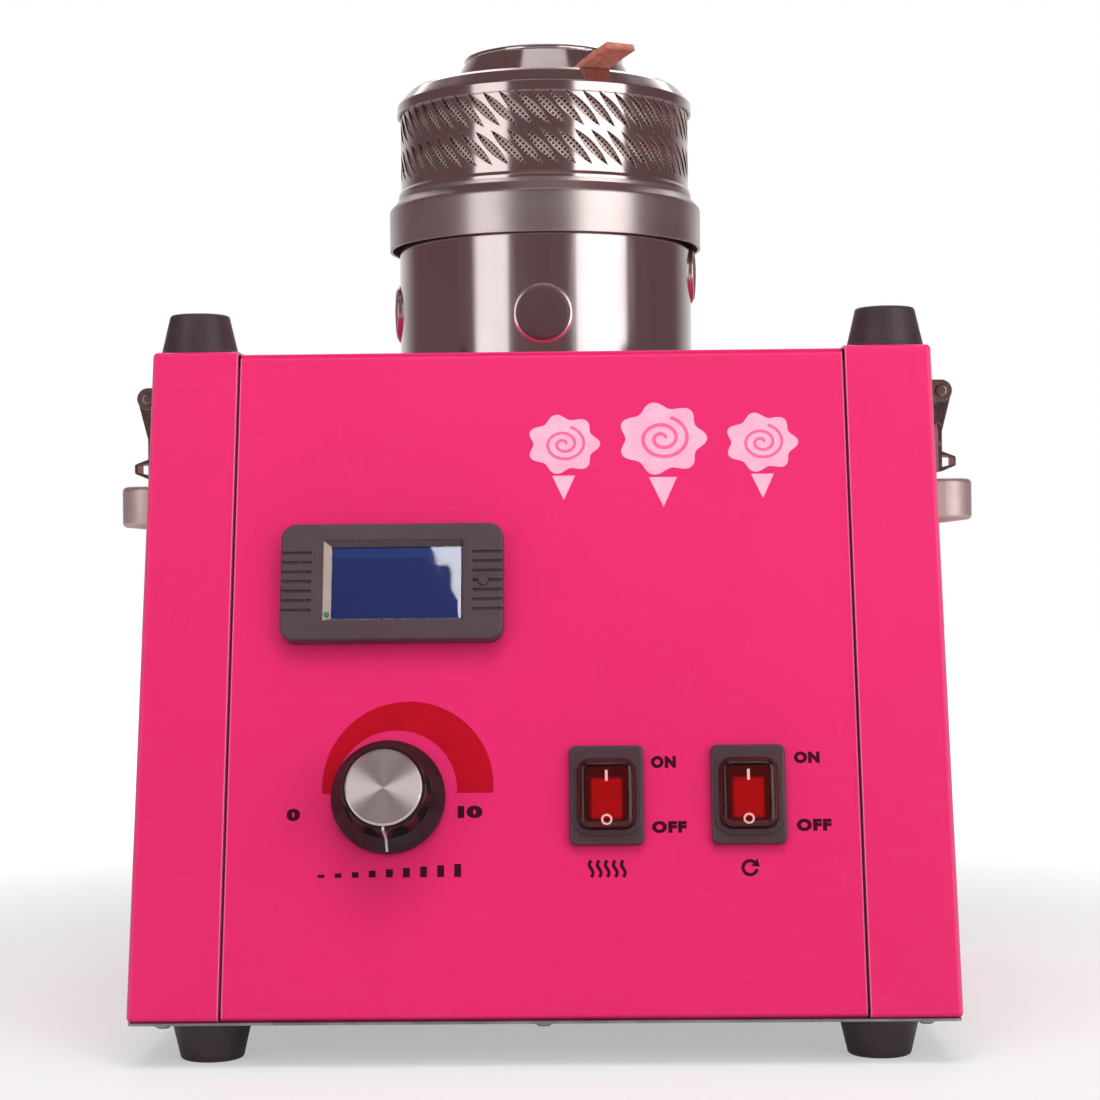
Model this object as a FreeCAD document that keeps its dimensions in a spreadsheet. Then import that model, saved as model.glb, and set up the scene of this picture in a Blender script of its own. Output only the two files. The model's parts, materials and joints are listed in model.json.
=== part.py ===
import FreeCAD, Part
import os
import re
import Sketcher
from FreeCAD import Placement, Rotation, Vector

# Table-top candy-floss machine, in millimetres. +Z is up, the control face looks along -Y and leans back,
# and the origin is on the surface it stands on, under the middle of its box.

doc = FreeCAD.newDocument("FlossMachine")
sheet = doc.addObject("Spreadsheet::Sheet", "sizes")

driving_sizes = {
    # cabinet
    "cabinet_width": 318.0,
    "cabinet_depth": 320.0,
    "cabinet_height": 261.6,
    "face_setback": 70.0,
    "strip_width": 35.3,
    "sheet": 1.2,
    "base_sheet": 1.0,
    "bend": 2.0,
    "panel_lap": 12.0,
    "flange": 16.0,
    "seam": 0.6,
    # fasteners
    "screw_radius": 1.95,
    "screw_head_radius": 3.8,
    "screw_head": 2.1,
    "screw_length": 7.0,
    "screw_inset": 8.5,
    "side_screw_inset": 13.0,
    "roof_screw_inset": 52.0,
    "rear_screw_inset": 40.0,
    "fit_gap": 0.1,
    "run_gap": 0.05,
    "loose_gap": 0.3,
    # rubber feet and bowl bumpers
    "foot_height": 17.0,
    "foot_radius": 16.2,
    "foot_tip_radius": 12.2,
    "foot_lip": 1.6,
    "foot_step": 0.4,
    "foot_round": 1.4,
    "foot_bolt_head_radius": 4.4,
    "foot_bolt_head": 3.0,
    "foot_bolt_length": 15.0,
    "foot_nut_radius": 4.6,
    "foot_nut": 4.0,
    "foot_well_radius": 6.0,
    "foot_well": 9.0,
    "foot_bolt_radius": 2.4,
    "foot_inset_side": 29.0,
    "foot_inset_end": 27.0,
    "bumper_inset_side": 16.2,
    "bumper_inset_end": 21.0,
    # side handles
    "handle_span": 112.0,
    "handle_reach": 28.5,
    "handle_tall": 18.0,
    "handle_thick": 8.0,
    "handle_bend": 13.0,
    "handle_height": 200.4,
    "handle_bolt": 2.4,
    "handle_round": 2.2,
    "handle_screw_length": 12.0,
    # side latches
    "latch_drop": 15.6,
    "latch_plate_width": 25.4,
    "latch_plate_tall": 47.0,
    "latch_plate_top": 5.0,
    "latch_plate": 1.2,
    "latch_rivet_radius": 1.9,
    "latch_rivet_drop": 38.0,
    "latch_rivet_step": 24.0,
    "latch_pin_radius": 1.6,
    "latch_pin_out": 10.8,
    "knuckle_radius": 4.7,
    "lever_width": 14.0,
    "lever_drop": 34.4,
    "lever_strip": 1.6,
    "lever_stand": 9.6,
    "lever_taper": -17.4,
    "loop_round": 1.0,
    "hook_reach": 6.4,
    "pivot_head": 1.3,
    "loop_strip": 1.2,
    "loop_tall": 8.5,
    "loop_out": 17.0,
    # things on the control face: across, and up the slope from its lower edge
    "meter_across": -59.2,
    "meter_up": 171.4,
    "meter_wide": 88.4,
    "meter_tall": 47.6,
    "meter_proud": 8.0,
    "meter_corner": 6.0,
    "screen_wide": 55.6,
    "screen_tall": 32.8,
    "screen_sink": 2.6,
    "screen_shift": 0.5,
    "screen_rise": 0.5,
    "glass_shift": 1.6,
    "glass_wide": 51.5,
    "glass_tall": 29.4,
    "glass_thick": 1.5,
    "meter_back_wide": 82.0,
    "meter_back_tall": 43.0,
    "meter_back_deep": 24.0,
    "meter_wall": 2.0,
    "meter_round": 1.2,
    "meter_board_deep": 3.6,
    "key_switch": 3.4,
    "key_flange": 2.6,
    "groove_count": 7.0,
    "groove_across": 38.2,
    "groove_pitch": 3.9,
    "groove_wide": 12.4,
    "groove_thick": 1.3,
    "groove_deep": 0.9,
    "key_radius": 2.05,
    "key_across": 36.2,
    "key_proud": 0.9,
    "controls_up": 86.2,
    "knob_across": -60.0,
    "knob_skirt_radius": 22.3,
    "knob_radius": 17.4,
    "knob_top_radius": 16.4,
    "knob_high": 24.5,
    "knob_skirt": 2.2,
    "knob_flare": 9.0,
    "knob_lift": 0.6,
    "knob_hollow": 6.6,
    "knob_hollow_radius": 12.0,
    "knob_crown": 5.0,
    "knob_round": 1.0,
    "cap_radius": 14.7,
    "cap_thick": 1.4,
    "scallop_count": 9.0,
    "scallop_radius": 7.0,
    "scallop_depth": 1.7,
    "shaft_radius": 3.0,
    "bush_radius": 4.6,
    "bush_nut_radius": 7.5,
    "bush_nut": 2.4,
    "bush_spare": 1.2,
    "dimmer_radius": 12.5,
    "dimmer_deep": 15.0,
    "dimmer_floor": 4.0,
    "heat_switch_across": 24.8,
    "motor_switch_across": 79.8,
    "switch_wide": 29.0,
    "switch_tall": 38.8,
    "switch_proud": 3.6,
    "switch_corner": 2.6,
    "window_wide": 22.6,
    "window_tall": 27.8,
    "window_corner": 5.0,
    "window_lip": 1.9,
    "lip_high": 0.8,
    "boot_high": 8.4,
    "boot_wall": 0.8,
    "boot_round": 3.2,
    "rocker_wide": 16.4,
    "rocker_tall": 23.2,
    "rocker_face": 3.4,
    "rocker_tilt": 8.0,
    "rocker_pivot_deep": 3.0,
    "rocker_hollow": 0.6,
    "rocker_round": 1.4,
    "rocker_pin": 1.5,
    "rocker_pin_long": 19.6,
    "rocker_room": 1.2,
    "switch_back_wide": 21.0,
    "switch_back_tall": 28.6,
    "switch_back_deep": 24.0,
    "switch_well": 9.0,
    "terminal_wide": 6.3,
    "terminal_thick": 0.8,
    "terminal_long": 8.0,
    # motor can, standing on the roof
    "can_radius": 66.7,
    "can_wall": 1.2,
    "can_top": 64.2,
    "can_flange": 10.5,
    "port_radius": 13.2,
    "port_bulge": 1.9,
    "port_hole_radius": 10.8,
    "port_plug": 3.0,
    "first_port": 20.5,
    "port_step": 12.0,
    "motor_plate": 3.0,
    "bearing_plate": 6.0,
    "bearing_radius": 13.0,
    "race_gap": 4.0,
    "motor_radius": 44.0,
    "motor_long": 92.0,
    "motor_wall": 2.5,
    "stator_radius": 26.0,
    "rotor_radius": 25.4,
    "rotor_long": 50.0,
    "motor_bolt_circle": 56.0,
    "motor_bolt_count": 4.0,
    "motor_flange_radius": 62.0,
    "motor_flange": 6.0,
    "rotor_drop": 14.0,
    "motor_bolt_length": 8.0,
    "can_bolt_circle": 72.0,
    "can_bolt_count": 4.0,
    "drive_radius": 6.0,
    "drive_end_radius": 5.0,
    "drive_collar_radius": 12.0,
    "drive_collar": 5.0,
    "drive_spare": 12.0,
    "hub_nut_radius": 10.0,
    "hub_nut_high": 7.0,
    "fan_radius": 40.0,
    "fan_high": 10.0,
    "fan_gap": 6.0,
    "fan_hub_radius": 12.0,
    "fan_blade": 1.6,
    "fan_count": 9.0,
    "hub_radius": 20.0,
    "ring_radius": 23.0,
    "ring_high": 5.6,
    "hub_over": 6.0,
    "brush_side": 5.6,
    "brush_long": 16.0,
    "spring_radius": 2.2,
    "spring_wire": 0.45,
    "spring_pitch": 2.3,
    "holder_side": 12.0,
    "holder_from": 29.0,
    "post_deep": 12.0,
    "post_wide": 16.0,
    # spinning head
    "collar_radius": 71.2,
    "collar_bottom": 55.7,
    "collar_shoulder": 73.7,
    "pan_top": 79.7,
    "pan_sheet": 1.2,
    "pan_crown_radius": 67.0,
    "pan_bead": 1.6,
    "band_radius": 65.9,
    "band_wall": 0.8,
    "band_curl": 3.0,
    "band_top": 121.2,
    "slot_rows": 2.0,
    "slot_count": 56.0,
    "slot_long": 21.5,
    "slot_thick": 3.9,
    "slot_lean": -45.0,
    "slot_row_low": 93.2,
    "slot_row_step": 16.9,
    "mesh_radius": 63.6,
    "mesh_wall": 0.5,
    "lid_radius": 67.4,
    "lid_rim_bottom": 117.4,
    "lid_rim_top": 121.6,
    "lid_ridge_radius": 61.0,
    "lid_ridge_wide": 2.0,
    "lid_round": 1.0,
    "lid_ridge": 128.4,
    "lid_flat": 126.8,
    "neck_foot_radius": 44.0,
    "neck_radius": 35.6,
    "neck_top": 144.2,
    "neck_curl": 1.4,
    "lid_sheet": 1.2,
    "heater_radius": 49.0,
    "heater_tube": 2.4,
    "heater_turns": 3.0,
    "heater_pitch": 9.0,
    "heater_low": 89.2,
    "heater_legs": 3.0,
    "lid_bolt_circle": 55.0,
    "lid_bolt_radius": 1.9,
    "lid_bolt_head": 3.6,
    "lid_bolt_dome": 1.3,
    "lid_bolt_count": 3.0,
    "tab_leather": 3.2,
    "tab_leather_wide": 13.6,
    "tab_root": 9.5,
    "tab_from": 47.0,
    "tab_bearing": -68.0,
    "tab_out": 18.0,
    "tab_rise": 7.4,
    "tab_sway": 7.4,
    "tab_twist": 8.0,
    "rivet_radius": 3.2,
    "rivet_high": 1.4,
    # electrics
    "board_wide": 90.0,
    "board_deep": 70.0,
    "board_thick": 1.6,
    "board_post": 10.0,
    "board_post_radius": 3.0,
    "board_inset": 6.0,
    "board_side": 42.0,
    "part_radius": 5.0,
    "part_high": 18.0,
    "block_wide": 34.0,
    "block_deep": 10.0,
    "block_high": 12.0,
    "board_back": 60.0,
    "sink_wide": 60.0,
    "sink_deep": 24.0,
    "sink_high": 34.0,
    "fin_count": 7.0,
    "fin_thick": 2.0,
    "fin_foot": 4.0,
    "inlet_inset": 28.7,
    "inlet_up": 48.0,
    "inlet_flange_wide": 50.0,
    "inlet_flange_tall": 24.0,
    "inlet_flange": 3.0,
    "inlet_wide": 27.4,
    "inlet_tall": 19.8,
    "inlet_deep": 22.0,
    "inlet_wall": 1.6,
    "inlet_screw_step": 40.0,
    "pin_wide": 2.0,
    "pin_tall": 4.0,
    "pin_long": 13.0,
    "pin_step": 7.0,
    "pin_drop": 3.0,
    "vent_count": 8.0,
    "vent_pitch": 9.0,
    "vent_wide": 3.0,
    "vent_tall": 60.0,
    "vent_across": 60.0,
    "vent_up": 130.0,
    "base_slot_long": 120.0,
    "board_stud_radius": 1.36,
    "heater_leg_radius": 1.9,
    # shares of a neighbouring size
    "screw_crown_share": 0.6,
    "screw_rim_share": 0.45,
    "screw_soft_share": 0.4,
    "recess_long_share": 1.1,
    "recess_wide_share": 0.3,
    "recess_deep_share": 0.55,
    "handle_head_share": 1.9,
    "pivot_head_share": 1.7,
    "pivot_soft_share": 0.8,
    "foot_soft_share": 0.6,
    "root_in_share": 0.9,
    "root_low_share": 0.4,
    "root_out_share": 0.95,
    "root_high_share": 0.3,
    "hollow_top_share": 1.1,
    "hollow_out_share": 0.45,
    "hook_low_share": 0.55,
    "hook_tip_share": 0.92,
    "loop_low_share": 0.28,
    "loop_high_share": 0.74,
    "left_port_share": 0.6,
    "knob_soft_share": 0.8,
    "frame_soft_share": 0.3,
    "lip_seat_share": 0.4,
    "belly_share": 1.4,
    "dome_rim_share": 0.35,
    "dome_step_share": 0.75,
    "dome_flat_share": 0.86,
    "band_soft_share": 0.6,
    "ridge_side_share": 0.8,
    "ridge_under_share": 1.4,
    "rivet_rim_share": 0.4,
    "rivet_crown_share": 0.6,
    "strap_rise_power": 0.8,
    "strap_bend_share": 0.25,
}
near = 0.01
straight_on = 0.999
for row, (alias, number) in enumerate(driving_sizes.items(), 1):
    sheet.set(f"A{row}", alias)
    sheet.set(f"B{row}", str(number))
    sheet.setAlias(f"B{row}", alias)
doc.recompute()


# Formulas name the sizes. These helpers give a formula to the document, or work it out.
def sized(formula):
    def named(word):
        return "sizes." + word.group() if word.group() in driving_sizes else word.group()

    return re.sub(r"[a-z]+(?:_[a-z]+)*", named, str(formula))


def value(formula):
    return float(sheet.evalExpression(sized(formula)))


def bind(item, field, formula):
    item.setExpression(field, sized(formula))


def place(item, x="0", y="0", z="0", axis=None, angle="0"):
    if axis:
        item.Placement = Placement(Vector(), Rotation(Vector(*axis), 1))
        bind(item, "Placement.Rotation.Angle", angle)
    for letter, formula in zip("xyz", (x, y, z)):
        bind(item, f"Placement.Base.{letter}", formula)
    return item


# heights and lines that several pieces share
floor = "(foot_height + base_sheet)"
roof = f"({floor} + cabinet_height)"
slope = "sqrt(cabinet_height^2 + face_setback^2)"
lean_sin = f"(face_setback/{slope})"
lean_cos = f"(cabinet_height/{slope})"
knob_reach = f"((knob_high - sheet)*{lean_cos} - (controls_up - cap_radius)*{lean_sin})"
back_reach = "(inlet_flange + screw_head - sheet)"
front = f"(-(cabinet_depth + {back_reach} - {knob_reach})/2)"
rear = f"({front} + cabinet_depth)"
mid_half = "(cabinet_width/2 - strip_width)"
head_y = f"({front} + face_setback + (cabinet_depth - face_setback)/2)"
plate_top = f"({roof} - sheet)"
plate_under = f"({roof} - 2*sheet)"


def over_base(height):
    return f"({floor} + {height})"


def over_roof(height):
    return f"({roof} + {height})"


def face_spot(across, up, out="0", tilt="0deg"):
    """A place on the leaning front panel, where a piece's own Y runs up the slope and its Z points out."""
    y = f"{front} + ({up})*{lean_sin} - ({out} - sheet)*{lean_cos}"
    z = f"{floor} + ({up})*{lean_cos} + ({out} - sheet)*{lean_sin}"
    return across, y, z, (1, 0, 0), f"90deg - atan2(face_setback; cabinet_height) + {tilt}"


def on_face(item, across, up, out="0"):
    return place(item, *face_spot(across, up, out))


# Sketched bodies
def new_body(label):
    body = doc.addObject("PartDesign::Body", label)
    body.Label = label
    return body


def rectangle(x, y, wide, tall):
    return [
        (f"{x} - ({wide})/2", f"{y} - ({tall})/2"),
        (f"{x} + ({wide})/2", f"{y} - ({tall})/2"),
        (f"{x} + ({wide})/2", f"{y} + ({tall})/2"),
        (f"{x} - ({wide})/2", f"{y} + ({tall})/2"),
    ]


def pin_point(sketch, curve, point, corner):
    for kind, formula in zip(("DistanceX", "DistanceY"), corner):
        spot = sketch.addConstraint(Sketcher.Constraint(kind, -1, 1, curve, point, value(formula)))
        sketch.setExpression(f"Constraints[{spot}]", sized(formula))


def draw(body, role, loops, lift="0"):
    """A sketch on one of the body's planes: each loop is a list of corners, or a circle's (x, y, radius)."""
    sketch = body.newObject("Sketcher::SketchObject", body.Name + "_sketch")
    plane = next(item for item in body.Origin.OriginFeatures if item.Role == role)
    sketch.AttachmentSupport = [(plane, "")]
    sketch.MapMode = "FlatFace"
    sketch.setExpression("AttachmentOffset.Base.z", sized(lift))
    for loop in loops:
        first = sketch.GeometryCount
        if isinstance(loop, tuple):
            x, y, radius = loop
            centre = Vector(value(x), value(y), 0)
            sketch.addGeometry(Part.Circle(centre, Vector(0, 0, 1), value(radius)))
            pin_point(sketch, first, 3, (x, y))
            spot = sketch.addConstraint(Sketcher.Constraint("Radius", first, value(radius)))
            sketch.setExpression(f"Constraints[{spot}]", sized(radius))
            continue
        spots = [Vector(value(x), value(y), 0) for x, y in loop]
        for start, end in zip(spots, spots[1:] + spots[:1]):
            sketch.addGeometry(Part.LineSegment(start, end))
        for index, corner in enumerate(loop):
            after = (index + 1) % len(loop)
            sketch.addConstraint(Sketcher.Constraint("Coincident", first + index, 2, first + after, 1))
            pin_point(sketch, first + index, 1, corner)
    return sketch


def add(body, loops, low, high, role="XY_Plane"):
    """Adds material between two heights above the plane."""
    grown = body.newObject("PartDesign::Pad", body.Name + "_pad")
    grown.Profile = draw(body, role, loops, low)
    bind(grown, "Length", f"{high} - ({low})")
    doc.recompute()
    return grown


def remove(body, loops, low, high, role="XY_Plane"):
    """Takes material away between two heights above the plane, and makes sure that some went."""
    before = body.Shape.Volume
    sunk = body.newObject("PartDesign::Pocket", body.Name + "_pocket")
    sunk.Profile = draw(body, role, loops, low)
    sunk.Reversed = True
    bind(sunk, "Length", f"{high} - ({low})")
    doc.recompute()
    if not body.Shape.Volume < before:
        raise ValueError(f"{sunk.Name} cuts nothing")
    return sunk


def turned(label, corners):
    """A body turned about its own Z axis from corners (radius, height)."""
    body = new_body(label)
    spun = body.newObject("PartDesign::Revolution", label + "_turn")
    spun.Profile = draw(body, "XZ_Plane", [corners])
    spun.ReferenceAxis = (spun.Profile[0], ["V_Axis"])
    spun.Angle = 360
    doc.recompute()
    return body


def soften(body, radius, chosen):
    """Rounds the edges that the test picks."""
    picked = [f"Edge{n}" for n, edge in enumerate(body.Tip.Shape.Edges, 1) if chosen(edge)]
    tip = body.Tip
    rounded = body.newObject("PartDesign::Fillet", body.Name + "_round")
    rounded.Base = (tip, picked)
    bind(rounded, "Radius", radius)
    doc.recompute()
    return rounded


def runs_along(edge, axis):
    straight = edge.Curve.TypeId == "Part::GeomLine"
    return straight and abs(edge.Curve.Direction.dot(Vector(*axis))) > straight_on


def circle_of(edge, radius, height):
    """True for a circle about the body's Z axis with that radius at that height."""
    if edge.Curve.TypeId != "Part::GeomCircle":
        return False
    centre = edge.Curve.Center
    return (
        abs(edge.Curve.Radius - value(radius)) < near
        and abs(centre.z - value(height)) < near
        and abs(centre.x) < near
        and abs(centre.y) < near
    )


# Primitives, joints of solids and repeated pieces
directions = {
    "+X": ((0, 1, 0), "90"),
    "+Y": ((1, 0, 0), "-90"),
}


def rod(radius, length, x="0", y="0", z="0", way="+Z"):
    bar = doc.addObject("Part::Cylinder", "rod")
    bind(bar, "Radius", radius)
    bind(bar, "Height", length)
    return place(bar, x, y, z, *directions.get(way, (None, "0")))


def block(wide, deep, tall, x, y, z):
    """A box centred on x and y, standing on z."""
    solid = doc.addObject("Part::Box", "block")
    bind(solid, "Length", wide)
    bind(solid, "Width", deep)
    bind(solid, "Height", tall)
    return place(solid, f"{x} - ({wide})/2", f"{y} - ({deep})/2", z)


def cut(label, base, tools):
    whole = doc.addObject("Part::Cut", label)
    whole.Label = label
    whole.Base = base
    whole.Tool = bundle(label + "_cutters", tools) if len(tools) > 1 else tools[0]
    return whole


def join(label, solids):
    whole = doc.addObject("Part::MultiFuse", label)
    whole.Label = label
    whole.Shapes = solids
    return whole


def bundle(label, solids):
    """Separate solids kept together under one name."""
    whole = doc.addObject("Part::Compound", label)
    whole.Label = label
    whole.Links = solids
    return whole


def copies(master, spots):
    """Copies of one piece, each placed by the arguments of place()."""
    made = []
    for spot in spots:
        copy = doc.addObject("App::Link", master.Name + "_copy")
        copy.LinkedObject = master
        copy.LinkTransform = False
        made.append(place(copy, *spot))
    return made


def mirrored(label, source):
    """The same piece on the other side of the machine's middle plane."""
    other = doc.addObject("Part::Mirroring", label)
    other.Label = label
    other.Source = source
    other.Normal = Vector(1, 0, 0)
    return other


def domed_pin(name, radius, head_radius, head, length):
    """A domed rivet or screw blank: its head's seat is at its own Z = 0, and the shank goes up."""
    rim = f"-({head})*screw_rim_share"
    pin = turned(name, [
        ("0", f"-({head})"),
        (f"{head_radius}*screw_crown_share", f"-({head})"),
        (head_radius, rim),
        (head_radius, "0"),
        (radius, "0"),
        (radius, length),
        ("0", length),
    ])
    soften(pin, f"{head}*screw_soft_share", lambda edge: circle_of(edge, head_radius, rim))
    return pin


def pan_screw(name, radius, head_radius, head, length):
    """A domed screw with a cross recess."""
    long, wide = f"{head_radius}*recess_long_share", f"{head_radius}*recess_wide_share"
    return cut(name, domed_pin(name + "_blank", radius, head_radius, head, length), [
        block(across, along, f"{head}*recess_deep_share", "0", "0", f"-({head})")
        for across, along in ((long, wide), (wide, long))
    ])


pieces = []
sides = (-1, 1)

# ---- cabinet ----
# Side covers: trays with a rounded outer edge. Their front and top rims are the strips beside the middle panel.
def cover_solid(label, inset, inner_x, outer_x, radius):
    """The cabinet's side outline drawn in by the inset, with its long edges and its outer edges rounded."""
    low, high = f"{floor} + {inset}", f"{roof} - {inset}"
    shift = "(face_setback/cabinet_height)"
    stretch = f"sqrt(1 + {shift}^2)"

    def face_y(height):
        return f"{front} + {shift}*({height} - {floor}) + ({inset})*{stretch}"

    back = f"{rear} - ({inset})"
    body = new_body(label)
    outline = [(face_y(low), low), (back, low), (back, high), (face_y(high), high)]
    add(body, [outline], inner_x, outer_x, "YZ_Plane")
    edge_x = value(outer_x) - near
    soften(body, radius, lambda edge: runs_along(edge, (1, 0, 0)) or edge.CenterOfMass.x > edge_x)
    return body


cover_outside = cover_solid("cover_outside", "0", mid_half, "cabinet_width/2", "bend")
wall_x = "cabinet_width/2 - sheet"
cover_inside = cover_solid("cover_inside", "sheet", f"{mid_half} - sheet", wall_x, "bend - sheet")

bumper_x = "(cabinet_width/2 - bumper_inset_side)"
bumper_ys = (f"{front} + face_setback + bumper_inset_end", f"{rear} - bumper_inset_end")
foot_x = "(cabinet_width/2 - foot_inset_side)"
foot_ys = (f"{front} + foot_inset_end", f"{rear} - foot_inset_end")
side_screw_x = "(cabinet_width/2 - side_screw_inset)"
under_screw_ys = (f"{front} + screw_inset", f"{rear} - screw_inset")
lap_x = f"({mid_half} + panel_lap/2)"
roof_screw_ys = (f"{front} + face_setback + roof_screw_inset", head_y, f"{rear} - roof_screw_inset")
rear_screw_zs = (over_base("rear_screw_inset"), f"{roof} - rear_screw_inset")
handle_ys = tuple(f"{head_y} {sign} (handle_span/2 - handle_thick/2)" for sign in "-+")
handle_z = over_base("handle_height")
latch_y = f"({head_y} - handle_span/2 - loose_gap - latch_plate_width/2)"
latch_z = over_roof("-latch_drop")
rivet_drops = ("latch_rivet_drop", "latch_rivet_drop - latch_rivet_step")
rivet_zs = tuple(f"{latch_z} - {drop}" for drop in rivet_drops)
screw_hole = "screw_radius + fit_gap"
bolt_hole = "foot_bolt_radius + fit_gap"
wall_inside = "cabinet_width/2 - 3*sheet"

right_cover = cut("right_cover", cover_outside, [
    cover_inside,
    *[rod(bolt_hole, "4*sheet", bumper_x, y, f"{roof} - 2*sheet") for y in bumper_ys],
    *[rod(bolt_hole, "4*sheet", foot_x, y, f"{floor} - 2*sheet") for y in foot_ys],
    *[rod(screw_hole, "4*sheet", side_screw_x, y, f"{floor} - 2*sheet") for y in under_screw_ys],
    *[rod(screw_hole, "4*sheet", lap_x, y, f"{roof} - 2*sheet") for y in roof_screw_ys],
    *[rod(screw_hole, "4*sheet", lap_x, f"{rear} - 2*sheet", z, "+Y") for z in rear_screw_zs],
    *[rod("handle_bolt + fit_gap", "6*sheet", wall_inside, y, handle_z, "+X") for y in handle_ys],
    *[rod("latch_rivet_radius + fit_gap", "6*sheet", wall_inside, latch_y, z, "+X") for z in rivet_zs],
])
left_cover = mirrored("left_cover", right_cover)
pieces += [right_cover, left_cover]


def flanged_panel(label, edge_y, setback, inward):
    """A sheet behind the covers' strips, with a rim turned inwards at its foot and its head."""
    shift = f"({setback})/cabinet_height"
    stretch = f"sqrt(1 + ({shift})^2)"

    def at(depth, height):
        return f"{edge_y} + {shift}*({height} - {floor}) {inward} ({depth})*{stretch}"

    def corner(depth, height):
        return (at(depth, height), height)

    low, high = floor, plate_under
    low_in, high_in = f"{low} + sheet", f"{high} - sheet"
    rim_low = f"{at('sheet', low)} {inward} flange"
    rim_high = f"{at('sheet', high)} {inward} flange"
    body = new_body(label)
    middle_wide = f"{mid_half} - seam"
    add(body, [[
        corner("sheet", low),
        (rim_low, low),
        (rim_low, low_in),
        corner("2*sheet", low_in),
        corner("2*sheet", high_in),
        (rim_high, high_in),
        (rim_high, high),
        corner("sheet", high),
    ]], f"-({middle_wide})", middle_wide, "YZ_Plane")
    inner_ys = [value(at("2*sheet", height)) for height in (low_in, high_in)]
    outer_ys = [value(at("sheet", height)) for height in (low, high)]

    def bends(ys):
        heights = [[value(low), value(high)], [value(low_in), value(high_in)]][ys is inner_ys]
        spots = list(zip(ys, heights))

        def chosen(edge):
            middle = edge.CenterOfMass
            beside = any(abs(middle.y - y) + abs(middle.z - z) < near for y, z in spots)
            return runs_along(edge, (1, 0, 0)) and beside

        return chosen

    soften(body, "bend", bends(outer_ys))
    soften(body, "bend - sheet", bends(inner_ys))
    ear_low, ear_high = f"{low} + 2*bend", f"{high} - 2*bend"
    add(body, [[
        corner("sheet", ear_low),
        corner("2*sheet", ear_low),
        corner("2*sheet", ear_high),
        corner("sheet", ear_high),
    ]], f"-({mid_half} + panel_lap)", f"{mid_half} + panel_lap", "YZ_Plane")
    return body


front_blank = flanged_panel("front_blank", front, "face_setback", "+")
rear_blank = flanged_panel("rear_blank", rear, "0", "-")
switch_spots = ("heat_switch_across", "motor_switch_across")


def face_cutter(wide, tall, across, up):
    """A block that opens a window through the leaning panel."""
    window = new_body("window_cutter")
    add(window, [rectangle("0", "0", wide, tall)], "-3*sheet", "3*sheet")
    return on_face(window, across, up)


def face_drill(radius, across, up):
    drill = new_body("face_drill")
    add(drill, [("0", "0", radius)], "-3*sheet", "3*sheet")
    return on_face(drill, across, up)


front_panel = cut("front_panel", front_blank, [
    face_cutter("meter_back_wide + 2*fit_gap", "meter_back_tall + 2*fit_gap", "meter_across", "meter_up"),
    face_drill("bush_radius + fit_gap", "knob_across", "controls_up"),
    *[
        face_cutter("switch_back_wide + 2*fit_gap", "switch_back_tall + 2*fit_gap", across, "controls_up")
        for across in switch_spots
    ],
    rod(screw_hole, "4*sheet", "0", under_screw_ys[0], f"{floor} - 2*sheet"),
])

vents = [block(
    "vent_wide",
    "6*sheet",
    "vent_tall",
    f"vent_across + ({index} - (vent_count - 1)/2)*vent_pitch",
    rear,
    over_base("vent_up"),
) for index in range(int(value("vent_count")))]
inlet_x, inlet_z = f"(inlet_inset - {mid_half})", over_base("inlet_up")
inlet_screw_xs = tuple(f"{inlet_x} {sign} inlet_screw_step/2" for sign in "-+")
rear_panel = cut("rear_panel", rear_blank, [
    *vents,
    block(
        "inlet_wide + 2*fit_gap",
        "6*sheet",
        "inlet_tall + 2*fit_gap",
        inlet_x,
        rear,
        f"{inlet_z} - inlet_tall/2 - fit_gap",
    ),
    *[rod(screw_hole, "6*sheet", x, f"{rear} - 3*sheet", inlet_z, "+Y") for x in inlet_screw_xs],
    *[
        rod(screw_hole, "6*sheet", f"{side}*{lap_x}", f"{rear} - 3*sheet", z, "+Y")
        for side in sides
        for z in rear_screw_zs
    ],
    rod(screw_hole, "4*sheet", "0", under_screw_ys[1], f"{floor} - 2*sheet"),
])
pieces += [front_panel, rear_panel]

# Roof between the covers, with the hole for the motor can.
can_bolt_turns = [f"({index} + 1/2)*360/can_bolt_count" for index in range(int(value("can_bolt_count")))]
can_bolts = [(f"can_bolt_circle*cos({turn})", f"can_bolt_circle*sin({turn})") for turn in can_bolt_turns]
roof_screws = [(f"{side}*{lap_x}", y) for side in sides for y in roof_screw_ys]
top_blank = new_body("top_blank")
top_front, top_rear = f"({front} + face_setback + bend)", f"({rear} - bend)"
top_middle, top_deep = f"({top_front} + {top_rear})/2", f"{top_rear} - {top_front}"
add(top_blank, [rectangle("0", top_middle, f"2*({mid_half} + panel_lap)", top_deep)], plate_under, plate_top)
top_plate = cut("top_plate", top_blank, [
    rod("can_radius + loose_gap", "4*sheet", "0", head_y, f"{plate_under} - sheet"),
    *[rod(screw_hole, "4*sheet", x, f"{head_y} + {y}", f"{plate_under} - sheet") for x, y in can_bolts],
    *[rod(screw_hole, "4*sheet", x, y, f"{plate_under} - sheet") for x, y in roof_screws],
])

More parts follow.
